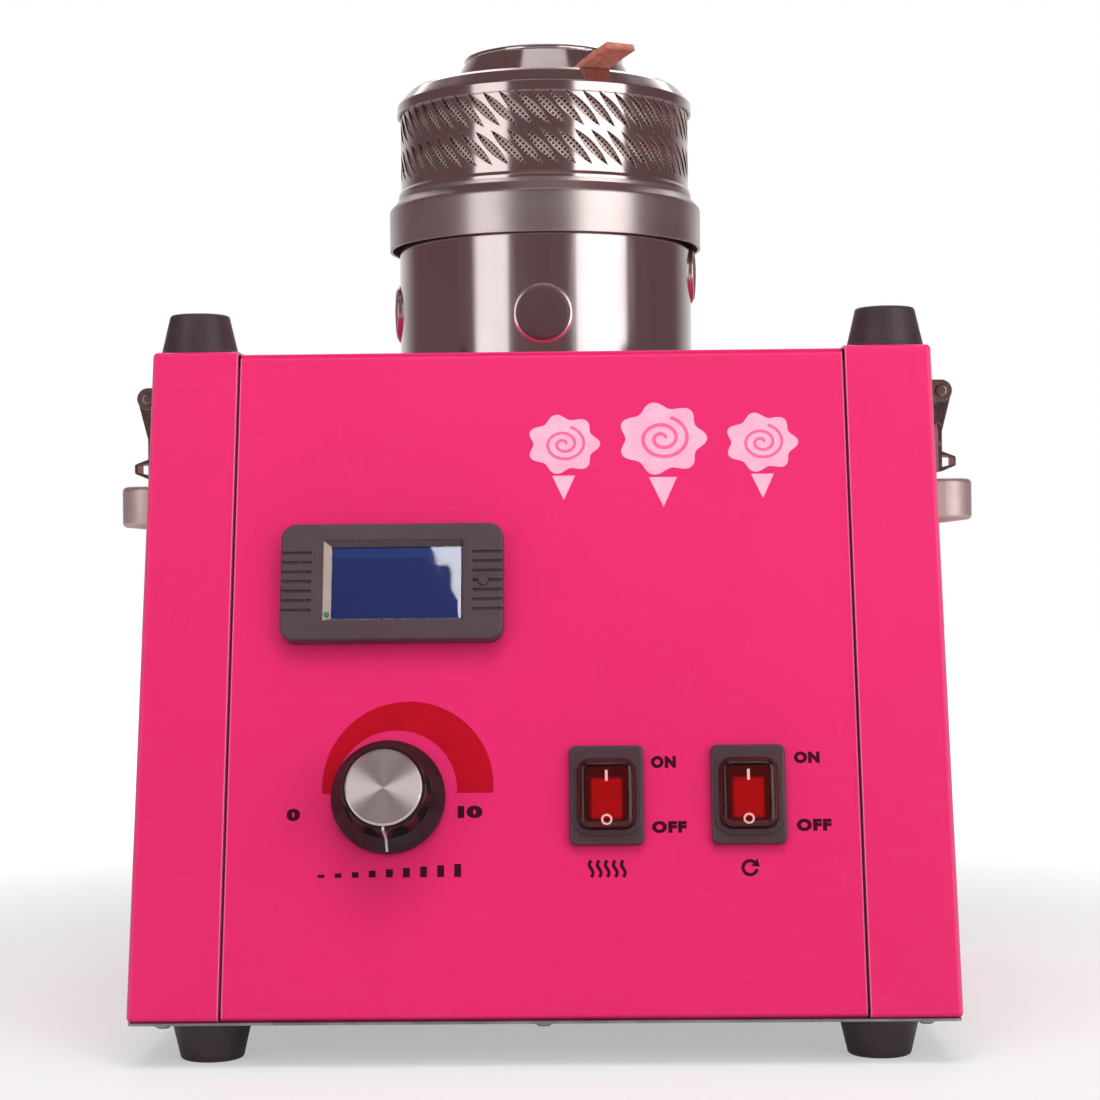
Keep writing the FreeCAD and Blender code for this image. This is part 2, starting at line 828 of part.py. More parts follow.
# Zinc-plated base, carried on the feet.
under_screws = [(x, y) for x in (f"-{side_screw_x}", "0", side_screw_x) for y in under_screw_ys]
foot_spots = [(f"{side}*{foot_x}", y) for side in sides for y in foot_ys]
bumper_spots = [(f"{side}*{bumper_x}", y) for side in sides for y in bumper_ys]
board_x = "(cabinet_width/2 - board_side - board_wide/2)"
board_y = f"({front} + board_back)"
post_x, post_y = "(board_wide/2 - board_inset)", "(board_deep/2 - board_inset)"
post_spots = [
    (f"{board_x} + {across}*{post_x}", f"{board_y} + {along}*{post_y}")
    for across in sides
    for along in sides
]
base_blank = new_body("base_blank")
add(
    base_blank,
    [rectangle("0", f"({front} + {rear})/2", "cabinet_width - 2*seam", "cabinet_depth - 2*seam")],
    "foot_height",
    floor,
)
soften(base_blank, "bend", lambda edge: runs_along(edge, (0, 0, 1)))
base_under = "foot_height - base_sheet"
base_plate = cut("base_plate", base_blank, [
    *[rod(bolt_hole, "4*base_sheet", x, y, base_under) for x, y in foot_spots],
    *[rod(screw_hole, "4*base_sheet", x, y, base_under) for x, y in under_screws + post_spots],
    *[
        block(
            "base_slot_long",
            "vent_wide",
            "4*base_sheet",
            "0",
            f"{head_y} + ({index} - (vent_count - 1)/2)*vent_pitch",
            base_under,
        )
        for index in range(int(value("vent_count")))
    ],
])
pieces += [top_plate, base_plate]

# Feet under the base and bumpers on the roof are one moulding, used both ways up.
lip_low = "foot_height - foot_lip"
rubber_foot = turned("rubber_foot", [
    ("foot_well_radius", "0"),
    ("foot_tip_radius", "0"),
    ("foot_radius - foot_step", lip_low),
    ("foot_radius", lip_low),
    ("foot_radius", "foot_height"),
    (bolt_hole, "foot_height"),
    (bolt_hole, "foot_well"),
    ("foot_well_radius", "foot_well"),
])
soften(rubber_foot, "foot_round", lambda edge: circle_of(edge, "foot_tip_radius", "0"))
soften(rubber_foot, "foot_step*foot_soft_share", lambda edge: circle_of(edge, "foot_radius", lip_low))
flip = ((1, 0, 0), "180")
feet = bundle("feet", copies(rubber_foot, foot_spots))
bumper_top = f"{roof} + foot_height"
bumpers = bundle("bumpers", copies(rubber_foot, [(x, y, bumper_top, *flip) for x, y in bumper_spots]))

foot_bolt = pan_screw(
    "foot_bolt",
    "foot_bolt_radius",
    "foot_bolt_head_radius",
    "foot_bolt_head",
    "foot_bolt_length",
)
nut_blank = doc.addObject("Part::Prism", "nut_blank")
nut_blank.Polygon = 6
bind(nut_blank, "Circumradius", "foot_nut_radius")
bind(nut_blank, "Height", "foot_nut")
foot_nut = cut("foot_nut", nut_blank, [rod("foot_bolt_radius + run_gap", "foot_nut")])
foot_bolts = bundle("foot_bolts", [
    *copies(foot_bolt, [(x, y, "foot_well") for x, y in foot_spots]),
    *copies(foot_bolt, [(x, y, f"{bumper_top} - foot_well", *flip) for x, y in bumper_spots]),
    *copies(foot_nut, [(x, y, f"{floor} + sheet") for x, y in foot_spots]),
    *copies(foot_nut, [(x, y, f"{roof} - sheet - foot_nut") for x, y in bumper_spots]),
])
pieces += [feet, bumpers, foot_bolts]

# One size of pan-head screw holds the cabinet together.
cabinet_screw = pan_screw("cabinet_screw", "screw_radius", "screw_head_radius", "screw_head", "screw_length")
to_front = ((1, 0, 0), "90")
rear_screws = [(f"{side}*{lap_x}", z) for side in sides for z in rear_screw_zs]
cabinet_screws = bundle("cabinet_screws", copies(cabinet_screw, [
    *[(x, y, "foot_height") for x, y in under_screws],
    *[(x, y, roof, *flip) for x, y in roof_screws],
    *[(x, f"{head_y} + {y}", plate_top, *flip) for x, y in can_bolts],
    *[(x, rear, z, *to_front) for x, z in rear_screws],
    *[(x, f"{rear} - sheet + inlet_flange", inlet_z, *to_front) for x in inlet_screw_xs],
]))
pieces.append(cabinet_screws)

# Bow handles, bolted through the covers from inside.
handle_blank = new_body("handle_blank")
half, inner_half = "(handle_span/2)", "(handle_span/2 - handle_thick)"
inner_reach = "(handle_reach - handle_thick)"
add(handle_blank, [[
    ("0", f"-{half}"),
    ("handle_reach", f"-{half}"),
    ("handle_reach", half),
    ("0", half),
    ("0", inner_half),
    (inner_reach, inner_half),
    (inner_reach, f"-{inner_half}"),
    ("0", f"-{inner_half}"),
]], "-handle_tall/2", "handle_tall/2")


def upright_at(formula):
    return lambda edge: runs_along(edge, (0, 0, 1)) and abs(edge.CenterOfMass.x - value(formula)) < near


def handle_rim(edge):
    return abs(abs(edge.CenterOfMass.z) - value("handle_tall/2")) < near < edge.CenterOfMass.x


soften(handle_blank, "handle_bend", upright_at("handle_reach"))
soften(handle_blank, "handle_bend - handle_thick", upright_at(inner_reach))
soften(handle_blank, "handle_round", handle_rim)
leg = "(handle_span/2 - handle_thick/2)"
right_handle = cut("right_handle", handle_blank, [
    rod("handle_bolt + fit_gap", "handle_screw_length", "0", f"{side}*{leg}", "0", "+X") for side in sides
])
place(right_handle, "cabinet_width/2", head_y, handle_z)
handles = bundle("handles", [right_handle, mirrored("left_handle", right_handle)])
handle_screw = pan_screw(
    "handle_screw",
    "handle_bolt",
    "handle_bolt*handle_head_share",
    "screw_head",
    "handle_screw_length",
)
handle_screws = bundle("handle_screws", copies(handle_screw, [
    (f"{side}*({wall_x})", y, handle_z, (0, 1, 0), f"{side}*90") for side in sides for y in handle_ys
]))
pieces += [handles, handle_screws]

# Toggle latches for the bowl. Their own X runs out from the cover and Z = 0 is the pin's height.
ear_in = "(lever_width/2 + loose_gap)"
ear_out = f"({ear_in} + latch_plate)"
latch_blank = new_body("latch_blank")
add(
    latch_blank,
    [rectangle("0", "latch_plate_top - latch_plate_tall/2", "latch_plate_width", "latch_plate_tall")],
    "0",
    "latch_plate",
    "YZ_Plane",
)
ear_web = rectangle("latch_pin_out/2", "0", "latch_pin_out", "2*knuckle_radius")
for low, high in ((ear_in, ear_out), (f"-{ear_out}", f"-{ear_in}")):
    add(latch_blank, [("latch_pin_out", "0", "knuckle_radius")], low, high, "XZ_Plane")
    add(latch_blank, [ear_web], low, high, "XZ_Plane")
pin_hole, rivet_hole = "latch_pin_radius + run_gap", "latch_rivet_radius + fit_gap"
right_latch_base = cut("right_latch_base", latch_blank, [
    rod(pin_hole, "2*latch_plate_width", "latch_pin_out", "-latch_plate_width", "0", "+Y"),
    *[rod(rivet_hole, "4*latch_plate", "-latch_plate", "0", f"-({drop})", "+X") for drop in rivet_drops],
])
on_right_wall = ("cabinet_width/2", latch_y, latch_z)
place(right_latch_base, *on_right_wall)
latch_bases = bundle("latch_bases", [right_latch_base, mirrored("left_latch_base", right_latch_base)])

lever_blank = new_body("lever_blank")
half_wide = "(lever_width/2)"
strip_out = "(lever_stand + lever_strip)"
loop_low, loop_high = "(-lever_drop)", "(loop_tall - lever_drop)"
add(lever_blank, [("latch_pin_out", "0", "knuckle_radius")], f"-{half_wide}", half_wide, "XZ_Plane")
add(lever_blank, [[
    ("latch_pin_out - knuckle_radius*root_in_share", "-knuckle_radius*root_low_share"),
    ("lever_stand", "lever_taper"),
    (strip_out, "lever_taper"),
    ("latch_pin_out + knuckle_radius*root_out_share", "-knuckle_radius*root_high_share"),
]], f"-{half_wide}", half_wide, "XZ_Plane")
add(lever_blank, [[
    ("lever_stand", "lever_taper + lever_strip"),
    ("lever_stand", loop_low),
    (strip_out, loop_low),
    (strip_out, "lever_taper + lever_strip"),
]], f"-{half_wide}", half_wide, "XZ_Plane")
loop_corners = ("(loop_tall*loop_low_share - lever_drop)", "(loop_tall*loop_high_share - lever_drop)")
add(lever_blank, [[
    ("lever_stand", loop_low),
    (strip_out, loop_low),
    ("loop_out", loop_corners[0]),
    ("loop_out", loop_corners[1]),
    (strip_out, loop_high),
    ("lever_stand", loop_high),
]], f"-{half_wide}", half_wide, "XZ_Plane")


def loop_nose(edge):
    return runs_along(edge, (0, 1, 0)) and abs(edge.CenterOfMass.x - value("loop_out")) < near


soften(lever_blank, "loop_round", loop_nose)
remove(lever_blank, [[
    (strip_out, f"{loop_low} + 3*loop_strip/2"),
    ("loop_out - loop_strip", f"{loop_corners[0]} + loop_strip/2"),
    ("loop_out - loop_strip", loop_corners[1]),
    (strip_out, f"{loop_high} - 3*loop_strip/2"),
]], f"-{half_wide} - lever_strip", f"{half_wide} + lever_strip", "XZ_Plane")
remove(lever_blank, [[
    ("latch_pin_out - knuckle_radius", "-knuckle_radius*hollow_top_share"),
    ("latch_pin_out + knuckle_radius*hollow_out_share", "-knuckle_radius*hollow_top_share"),
    ("lever_stand + fit_gap", "lever_taper + 2*lever_strip"),
    ("latch_pin_out - knuckle_radius", "lever_taper + 2*lever_strip"),
]], f"-({half_wide} - lever_strip)", f"{half_wide} - lever_strip", "XZ_Plane")
add(lever_blank, [[
    ("latch_pin_out", "knuckle_radius*hook_low_share"),
    ("latch_pin_out", "knuckle_radius"),
    ("latch_pin_out - hook_reach", "knuckle_radius*hook_tip_share"),
    ("latch_pin_out - hook_reach", "knuckle_radius/2"),
]], f"-({half_wide} - lever_strip)", f"{half_wide} - lever_strip", "XZ_Plane")
remove(
    lever_blank,
    [("latch_pin_out", "0", pin_hole)],
    "-latch_plate_width",
    "latch_plate_width",
    "XZ_Plane",
)
lever_blank.Label = "right_latch_lever"
right_latch_lever = place(lever_blank, *on_right_wall)
left_latch_lever = mirrored("left_latch_lever", right_latch_lever)

pin_head, pin_end = "latch_pin_radius*pivot_head_share", f"2*({ear_out} + pivot_head)"
pivot = turned("latch_pivot", [
    ("0", "0"),
    (pin_head, "0"),
    (pin_head, "pivot_head"),
    ("latch_pin_radius", "pivot_head"),
    ("latch_pin_radius", f"2*{ear_out} + pivot_head"),
    (pin_head, f"2*{ear_out} + pivot_head"),
    (pin_head, pin_end),
    ("0", pin_end),
])
soften(pivot, "pivot_head*pivot_soft_share", lambda edge: any(
    circle_of(edge, pin_head, z) for z in ("0", pin_end)
))
rivet_head = "latch_rivet_radius*pivot_head_share"
wall_rivet = domed_pin("wall_rivet", "latch_rivet_radius", rivet_head, "pivot_head", "4*sheet")
pivot_y = f"{latch_y} - {ear_out} - pivot_head"
latch_rivets = bundle("latch_rivets", [
    *copies(pivot, [
        (f"{side}*(cabinet_width/2 + latch_pin_out)", pivot_y, latch_z, (1, 0, 0), "-90") for side in sides
    ]),
    *copies(wall_rivet, [
        (f"{side}*(cabinet_width/2 + latch_plate)", latch_y, z, (0, 1, 0), f"-{side}*90")
        for side in sides
        for z in rivet_zs
    ]),
])
pieces += [latch_bases, right_latch_lever, left_latch_lever, latch_rivets]

# ---- control face ----
def flat_at(height):
    """Picks the edges that lie flat at a height in their body's own frame."""
    def chosen(edge):
        return abs(edge.BoundBox.ZMin - value(height)) < near and edge.BoundBox.ZLength < near

    return chosen


# Power meter: a moulded case that passes through the panel, with a recessed window and ribbed cheeks.
meter_blank = new_body("meter_blank")
wide, tall = "meter_wide", "meter_tall"
add(meter_blank, [rectangle("0", "0", wide, tall)], "0", "meter_proud")
soften(meter_blank, "meter_corner", lambda edge: runs_along(edge, (0, 0, 1)))
soften(meter_blank, "meter_round", flat_at("meter_proud"))
add(meter_blank, [rectangle("0", "0", "meter_back_wide", "meter_back_tall")], "-meter_back_deep", "0")
screen_floor = "(meter_proud - screen_sink)"
case_inside = f"({screen_floor} - meter_wall)"
screen = rectangle("screen_shift", "screen_rise", "screen_wide", "screen_tall")
remove(meter_blank, [screen], screen_floor, "meter_proud")
remove(
    meter_blank,
    [rectangle("0", "0", "meter_back_wide - 2*meter_wall", "meter_back_tall - 2*meter_wall")],
    "meter_wall - meter_back_deep",
    case_inside,
)
remove(
    meter_blank,
    [rectangle("glass_shift", "0", "glass_wide + 2*fit_gap", "glass_tall + 2*fit_gap")],
    case_inside,
    screen_floor,
)
for cheek in sides:
    remove(meter_blank, [
        rectangle(
            f"{cheek}*groove_across",
            f"({index} - (groove_count - 1)/2)*groove_pitch",
            "groove_wide",
            "groove_thick",
        )
        for index in range(int(value("groove_count")))
    ], "meter_proud - groove_deep", "meter_proud")
remove(meter_blank, [("key_across", "0", "key_radius + run_gap")], case_inside, "meter_proud")
meter_blank.Label = "meter_case"
meter_case = on_face(meter_blank, "meter_across", "meter_up")

meter_glass = new_body("meter_glass")
glass_under = f"{screen_floor} - glass_thick"
add(meter_glass, [rectangle("glass_shift", "0", "glass_wide", "glass_tall")], glass_under, screen_floor)
on_face(meter_glass, "meter_across", "meter_up")

meter_board = new_body("meter_board")
board_front = f"({case_inside} - meter_board_deep - run_gap)"
inner_wide, inner_tall = "meter_back_wide - 2*meter_wall", "meter_back_tall - 2*meter_wall"
add(
    meter_board,
    [rectangle("0", "0", f"{inner_wide} - 2*fit_gap", f"{inner_tall} - 2*fit_gap")],
    f"{board_front} - board_thick",
    board_front,
)
add(
    meter_board,
    [rectangle("glass_shift", "0", "glass_wide - 2*meter_wall", "glass_tall - meter_wall")],
    board_front,
    f"{glass_under} - loose_gap",
)
add(
    meter_board,
    [rectangle("key_across", "0", "2*key_flange", "2*key_flange")],
    board_front,
    f"{case_inside} - key_switch + loose_gap",
)
on_face(meter_board, "meter_across", "meter_up")

meter_button = turned("meter_button", [
    ("0", f"{case_inside} - run_gap - key_proud"),
    ("key_flange", f"{case_inside} - run_gap - key_proud"),
    ("key_flange", f"{case_inside} - run_gap"),
    ("key_radius", f"{case_inside} - run_gap"),
    ("key_radius", "meter_proud + key_proud"),
    ("0", "meter_proud + key_proud"),
])
soften(meter_button, "key_proud/2", lambda edge: circle_of(edge, "key_radius", "meter_proud + key_proud"))
on_face(meter_button, "meter_across + key_across", "meter_up")
pieces += [meter_case, meter_glass, meter_board, meter_button]

# Heat knob on the shaft of the heat control, which is held to the panel by a nut on its bush.
knob_spot = ("knob_across", "controls_up")
knob_top = "(knob_high - cap_thick)"
bore_end = f"({knob_top} - knob_crown)"
knob_blank = turned("knob_blank", [
    ("0", bore_end),
    ("shaft_radius + fit_gap", bore_end),
    ("shaft_radius + fit_gap", "knob_hollow"),
    ("knob_hollow_radius", "knob_hollow"),
    ("knob_hollow_radius", "knob_lift"),
    ("knob_skirt_radius", "knob_lift"),
    ("knob_skirt_radius", "knob_lift + knob_skirt"),
    ("knob_radius", "knob_flare"),
    ("knob_top_radius", knob_top),
    ("0", knob_top),
])
soften(knob_blank, "knob_round", lambda edge: circle_of(edge, "knob_skirt_radius", "knob_lift + knob_skirt"))
soften(knob_blank, "knob_round*knob_soft_share", lambda edge: circle_of(edge, "knob_top_radius", knob_top))
scallop_out = "(knob_radius - scallop_depth + scallop_radius)"
scallop_turns = [f"({index} + 1/2)*360/scallop_count" for index in range(int(value("scallop_count")))]
scallop_spots = [(f"{scallop_out}*sin({turn})", f"-{scallop_out}*cos({turn})") for turn in scallop_turns]
heat_knob = cut("heat_knob", knob_blank, [
    rod("scallop_radius", "knob_high", x, y, "knob_flare") for x, y in scallop_spots
])
on_face(heat_knob, *knob_spot)
knob_cap = turned("knob_cap", [
    ("0", knob_top),
    ("cap_radius", knob_top),
    ("cap_radius", f"{knob_top} + cap_thick/2"),
    ("cap_radius - cap_thick/2", "knob_high"),
    ("0", "knob_high"),
])
on_face(knob_cap, *knob_spot)
shaft_low = "(-sheet - dimmer_deep + dimmer_floor + loose_gap)"
control_shaft = rod("shaft_radius", f"{bore_end} - fit_gap - {shaft_low}")
control_shaft.Label = "control_shaft"
on_face(control_shaft, *knob_spot, shaft_low)
control_case = turned("control_case", [
    ("0", "-sheet - dimmer_deep"),
    ("dimmer_radius", "-sheet - dimmer_deep"),
    ("dimmer_radius", "-sheet"),
    ("bush_radius", "-sheet"),
    ("bush_radius", "bush_nut + bush_spare"),
    ("shaft_radius + run_gap", "bush_nut + bush_spare"),
    ("shaft_radius + run_gap", "dimmer_floor - sheet - dimmer_deep"),
    ("0", "dimmer_floor - sheet - dimmer_deep"),
])


def hexagon(radius, high, bore, label):
    blank = doc.addObject("Part::Prism", label + "_blank")
    blank.Polygon = 6
    bind(blank, "Circumradius", radius)
    bind(blank, "Height", high)
    return cut(label, blank, [rod(bore, high)])


bush_nut = hexagon("bush_nut_radius", "bush_nut", "bush_radius + run_gap", "bush_nut")
heat_control = bundle("heat_control", [on_face(item, *knob_spot) for item in (control_case, bush_nut)])
pieces += [heat_knob, knob_cap, control_shaft, heat_control]

# Rocker switches under soft clear boots. A rocker's own origin is on its pivot.
frame_master = new_body("frame_master")
add(frame_master, [rectangle("0", "0", "switch_wide", "switch_tall")], "0", "switch_proud")
soften(frame_master, "switch_corner", lambda edge: runs_along(edge, (0, 0, 1)))
soften(frame_master, "switch_proud*frame_soft_share", flat_at("switch_proud"))
lip_wide, lip_tall = "window_wide + 2*window_lip", "window_tall + 2*window_lip"
add(frame_master, [rectangle("0", "0", lip_wide, lip_tall)], "switch_proud", "switch_proud + lip_high")


def lip_edge(edge):
    return runs_along(edge, (0, 0, 1)) and edge.CenterOfMass.z > value("switch_proud + lip_high*lip_seat_share")


soften(frame_master, "window_corner + window_lip", lip_edge)
window_tool = new_body("window_tool")
window = rectangle("0", "0", "window_wide", "window_tall")
add(window_tool, [window], "-lip_high", "switch_proud + 2*lip_high")
soften(window_tool, "window_corner", lambda edge: runs_along(edge, (0, 0, 1)))
switch_frame = cut("switch_frame", frame_master, [window_tool])


def boot_solid(label, inset, low):
    body = new_body(label)
    outline = rectangle(
        "0",
        "0",
        f"window_wide - 2*fit_gap - 2*({inset})",
        f"window_tall - 2*fit_gap - 2*({inset})",
    )
    add(body, [outline], low, f"boot_high - ({inset})")
    soften(body, f"window_corner - fit_gap - ({inset})", lambda edge: runs_along(edge, (0, 0, 1)))
    top = value(f"boot_high - ({inset})") - near
    soften(body, f"boot_round - ({inset})", lambda edge: edge.BoundBox.ZMin > top)
    return body


boot_master = cut("boot_master", boot_solid("boot_outside", "0", "0"), [
    boot_solid("boot_inside", "boot_wall", "-boot_wall"),
])

body_blank = new_body("body_blank")
add(body_blank, [rectangle("0", "0", "switch_back_wide", "switch_back_tall")], "-switch_back_deep", "0")
remove(
    body_blank,
    [rectangle("0", "0", "rocker_wide + rocker_room", "rocker_tall + 2*rocker_room")],
    "-switch_well",
    "0",
)
body_master = cut("body_master", body_blank, [
    rod("rocker_pin + run_gap", "switch_back_wide", "-switch_back_wide/2", "0", "-rocker_pivot_deep", "+X"),
])
terminal_step = "(switch_back_tall/2 - terminal_wide)"
terminal_low = "-switch_back_deep - terminal_long"
terminals = bundle("terminals", [
    block("terminal_wide", "terminal_thick", "terminal_long", "0", f"{spot}*{terminal_step}", terminal_low)
    for spot in (-1, 0, 1)
])

rocker_top = "(rocker_face + rocker_pivot_deep)"
rocker_blank = new_body("rocker_blank")
add(rocker_blank, [[
    ("-rocker_tall/2", "rocker_pin"),
    ("-rocker_tall/4", "-rocker_pin*belly_share"),
    ("rocker_tall/4", "-rocker_pin*belly_share"),
    ("rocker_tall/2", "rocker_pin"),
    ("rocker_tall/2", f"{rocker_top} + rocker_hollow"),
    ("0", rocker_top),
    ("-rocker_tall/2", f"{rocker_top} + rocker_hollow"),
]], "-rocker_wide/2", "rocker_wide/2", "YZ_Plane")
soften(rocker_blank, "rocker_round", lambda edge: runs_along(edge, (0, 0, 1)))
rocker_master = join("rocker_master", [
    rocker_blank,
    rod("rocker_pin", "rocker_pin_long", "-rocker_pin_long/2", "0", "0", "+X"),
])
neutral = [face_spot(across, "controls_up") for across in switch_spots]
switch_frames = bundle("switch_frames", copies(switch_frame, neutral))
switch_boots = bundle("switch_boots", copies(boot_master, neutral))
switch_bodies = bundle("switch_bodies", copies(body_master, neutral) + copies(terminals, neutral))
pieces += [switch_frames, switch_boots, switch_bodies]
for name, across in zip(("heat_rocker", "motor_rocker"), switch_spots):
    off = face_spot(across, "controls_up", "-rocker_pivot_deep", "rocker_tilt*1deg")
    pieces.append(bundle(name, copies(rocker_master, [off])))

# ---- drive, in the can on the roof and below it ----
flange_low = f"({plate_under} - can_wall)"
motor_top = f"({flange_low} - motor_plate)"
can_inside = "(can_radius - can_wall)"
port_directions = (("-90deg", "0"), ("180deg", "left_port_share"), ("0deg", "2"))
port_spots = [
    ("0", head_y, over_roof(f"(first_port + {step}*port_step)"), (0, 0, 1), turn)
    for turn, step in port_directions
]
can_blank = turned("can_blank", [
    (can_inside, flange_low),
    ("can_radius + can_flange", flange_low),
    ("can_radius + can_flange", plate_under),
    ("can_radius", plate_under),
    ("can_radius", over_roof("can_top")),
    (can_inside, over_roof("can_top")),
])
place(can_blank, "0", head_y)
drill_rod = rod("port_hole_radius + fit_gap", "can_radius", "can_radius/2", "0", "0", "+X")
port_drill = bundle("port_drill", [drill_rod])
motor_can = cut("motor_can", can_blank, [
    *copies(port_drill, port_spots),
    *[rod(screw_hole, "4*sheet", x, f"{head_y} + {y}", f"{flange_low} - sheet") for x, y in can_bolts],
])

# Snap-in caps, domed over the brush ports and seated on the round of the can.
dome_rings = (
    ("port_radius", "can_radius + port_bulge*dome_rim_share"),
    ("port_radius*dome_flat_share", "can_radius + port_bulge*dome_step_share"),
)
cap_dome = turned("cap_dome", [
    ("0", "can_radius - port_plug"),
    ("port_radius", "can_radius - port_plug"),
    *dome_rings,
    ("port_radius/2", "can_radius + port_bulge"),
    ("0", "can_radius + port_bulge"),
])
for radius, high in dome_rings:
    soften(cap_dome, "port_bulge/2", lambda edge: circle_of(edge, radius, high))
place(cap_dome, "0", "0", "0", (0, 1, 0), "90")
seated = cut("cap_seated", cap_dome, [rod("can_radius", "4*port_radius", "0", "0", "-2*port_radius")])
port_cap = join("port_cap", [
    seated,
    rod("port_hole_radius", "can_wall + port_plug", f"{can_inside} - port_plug", "0", "0", "+X"),
])
port_caps = bundle("port_caps", copies(port_cap, port_spots))
pieces += [motor_can, port_caps]

plug_face = f"({can_inside} - port_plug)"
brush_from = "(ring_radius + loose_gap)"
brush_master = bundle("brush_master", [
    block("brush_long", "brush_side", "brush_side", f"{brush_from} + brush_long/2", "0", "-brush_side/2"),
])
brushes = bundle("brushes", copies(brush_master, port_spots))
holder_end = f"({plug_face} - loose_gap)"
holder_middle, holder_long = f"(holder_from + {holder_end})/2", f"{holder_end} - holder_from"
channel = "brush_side + 2*fit_gap"
holders = []
for spot, (turn, step) in zip(port_spots, port_directions):
    tall_post = f"(first_port + {step}*port_step - holder_side/2 + {roof} - {flange_low})"
    post_low = f"-holder_side/2 - {tall_post}"
    body = join("holder_body", [
        block(holder_long, "holder_side", "holder_side", holder_middle, "0", "-holder_side/2"),
        block("post_deep", "post_wide", tall_post, f"{holder_end} - post_deep/2", "0", post_low),
    ])
    bored = cut("holder_bored", body, [
        block("can_radius", channel, channel, holder_middle, "0", f"-({channel})/2"),
    ])
    holders += copies(bored, [spot])
brush_holders = bundle("brush_holders", holders)

spring_from = value(f"{brush_from} + brush_long + run_gap")
spring_long = value(f"{plug_face} - run_gap") - spring_from - value("2*spring_wire")
coil_radius, wire = value("spring_radius"), value("spring_wire")
helix = Part.makeHelix(value("spring_pitch"), spring_long, coil_radius)
section = Part.Wire([Part.Circle(Vector(coil_radius, 0, 0), Vector(0, 1, 0), wire).toShape()])
spring = doc.addObject("Part::Feature", "spring")
spring.Shape = Part.Wire(helix.Edges).makePipeShell([section], True, True)
place(spring, f"{brush_from} + brush_long + run_gap + spring_wire", "0", "0", (0, 1, 0), "90")
spring_master = bundle("spring_master", [spring])
brush_springs = bundle("brush_springs", copies(spring_master, port_spots))
pieces += [brush_holders, brushes, brush_springs]

on_axis = ("0", head_y)
bearing_plate = turned("bearing_plate", [
    ("bearing_radius + run_gap", over_roof("(can_top - bearing_plate)")),
    (f"{can_inside} - fit_gap", over_roof("(can_top - bearing_plate)")),
    (f"{can_inside} - fit_gap", over_roof("can_top")),
    ("bearing_radius + run_gap", over_roof("can_top")),
])
place(bearing_plate, *on_axis)
bearing = turned("bearing", [
    ("drive_radius + run_gap", "0"),
    ("bearing_radius", "0"),
    ("bearing_radius", "bearing_plate"),
    ("drive_radius + run_gap", "bearing_plate"),
])
bearings = bundle("bearings", copies(bearing, [
    (*on_axis, over_roof("(can_top - bearing_plate)")),
    (*on_axis, f"{motor_top} - motor_flange"),
]))
motor_bolt_turns = [f"{index}*360/motor_bolt_count" for index in range(int(value("motor_bolt_count")))]
motor_bolt_spots = [
    (f"motor_bolt_circle*cos({turn})", f"{head_y} + motor_bolt_circle*sin({turn})")
    for turn in motor_bolt_turns
]
plate_blank = turned("plate_blank", [
    ("bearing_radius + race_gap", motor_top),
    ("can_radius + can_flange", motor_top),
    ("can_radius + can_flange", flange_low),
    ("bearing_radius + race_gap", flange_low),
])
place(plate_blank, *on_axis)
can_bolt_spots = [(x, f"{head_y} + {y}") for x, y in can_bolts]
motor_plate = cut("motor_plate", plate_blank, [
    rod(screw_hole, "4*motor_plate", x, y, f"{motor_top} - motor_plate")
    for x, y in motor_bolt_spots + can_bolt_spots
])
motor_low = f"({motor_top} - motor_long)"
housing_blank = turned("housing_blank", [
    ("drive_radius + race_gap", motor_low),
    ("motor_radius", motor_low),
    ("motor_radius", f"{motor_top} - motor_flange"),
    ("motor_flange_radius", f"{motor_top} - motor_flange"),
    ("motor_flange_radius", motor_top),
    ("bearing_radius + run_gap", motor_top),
    ("bearing_radius + run_gap", f"{motor_top} - motor_flange"),
    ("motor_radius - motor_wall", f"{motor_top} - motor_flange"),
    ("motor_radius - motor_wall", f"{motor_low} + motor_wall"),
    ("drive_radius + race_gap", f"{motor_low} + motor_wall"),
])
place(housing_blank, *on_axis)
motor_housing = cut("motor_housing", housing_blank, [
    rod(screw_hole, "2*motor_flange", x, y, f"{motor_top} - 1.5*motor_flange") for x, y in motor_bolt_spots
])
rotor_low = f"({motor_top} - motor_flange - rotor_drop - rotor_long)"


def sleeve(label, bore, radius, low, high):
    """A plain ring about the machine's axis."""
    ring = turned(label, [(bore, low), (radius, low), (radius, high), (bore, high)])
    return place(ring, *on_axis)


rotor_high = f"{rotor_low} + rotor_long"
core_radius = "motor_radius - motor_wall - fit_gap"
motor_stator = sleeve("motor_stator", "stator_radius", core_radius, rotor_low, rotor_high)
motor_rotor = sleeve("motor_rotor", "drive_radius + run_gap", "rotor_radius", rotor_low, rotor_high)
motor_bolt = pan_screw("motor_bolt", "screw_radius", "screw_head_radius", "screw_head", "motor_bolt_length")
motor_bolts = bundle("motor_bolts", copies(motor_bolt, [
    (x, y, f"{motor_top} - motor_flange") for x, y in motor_bolt_spots
]))
pieces += [bearing_plate, bearings, motor_plate, motor_housing, motor_stator, motor_rotor, motor_bolts]

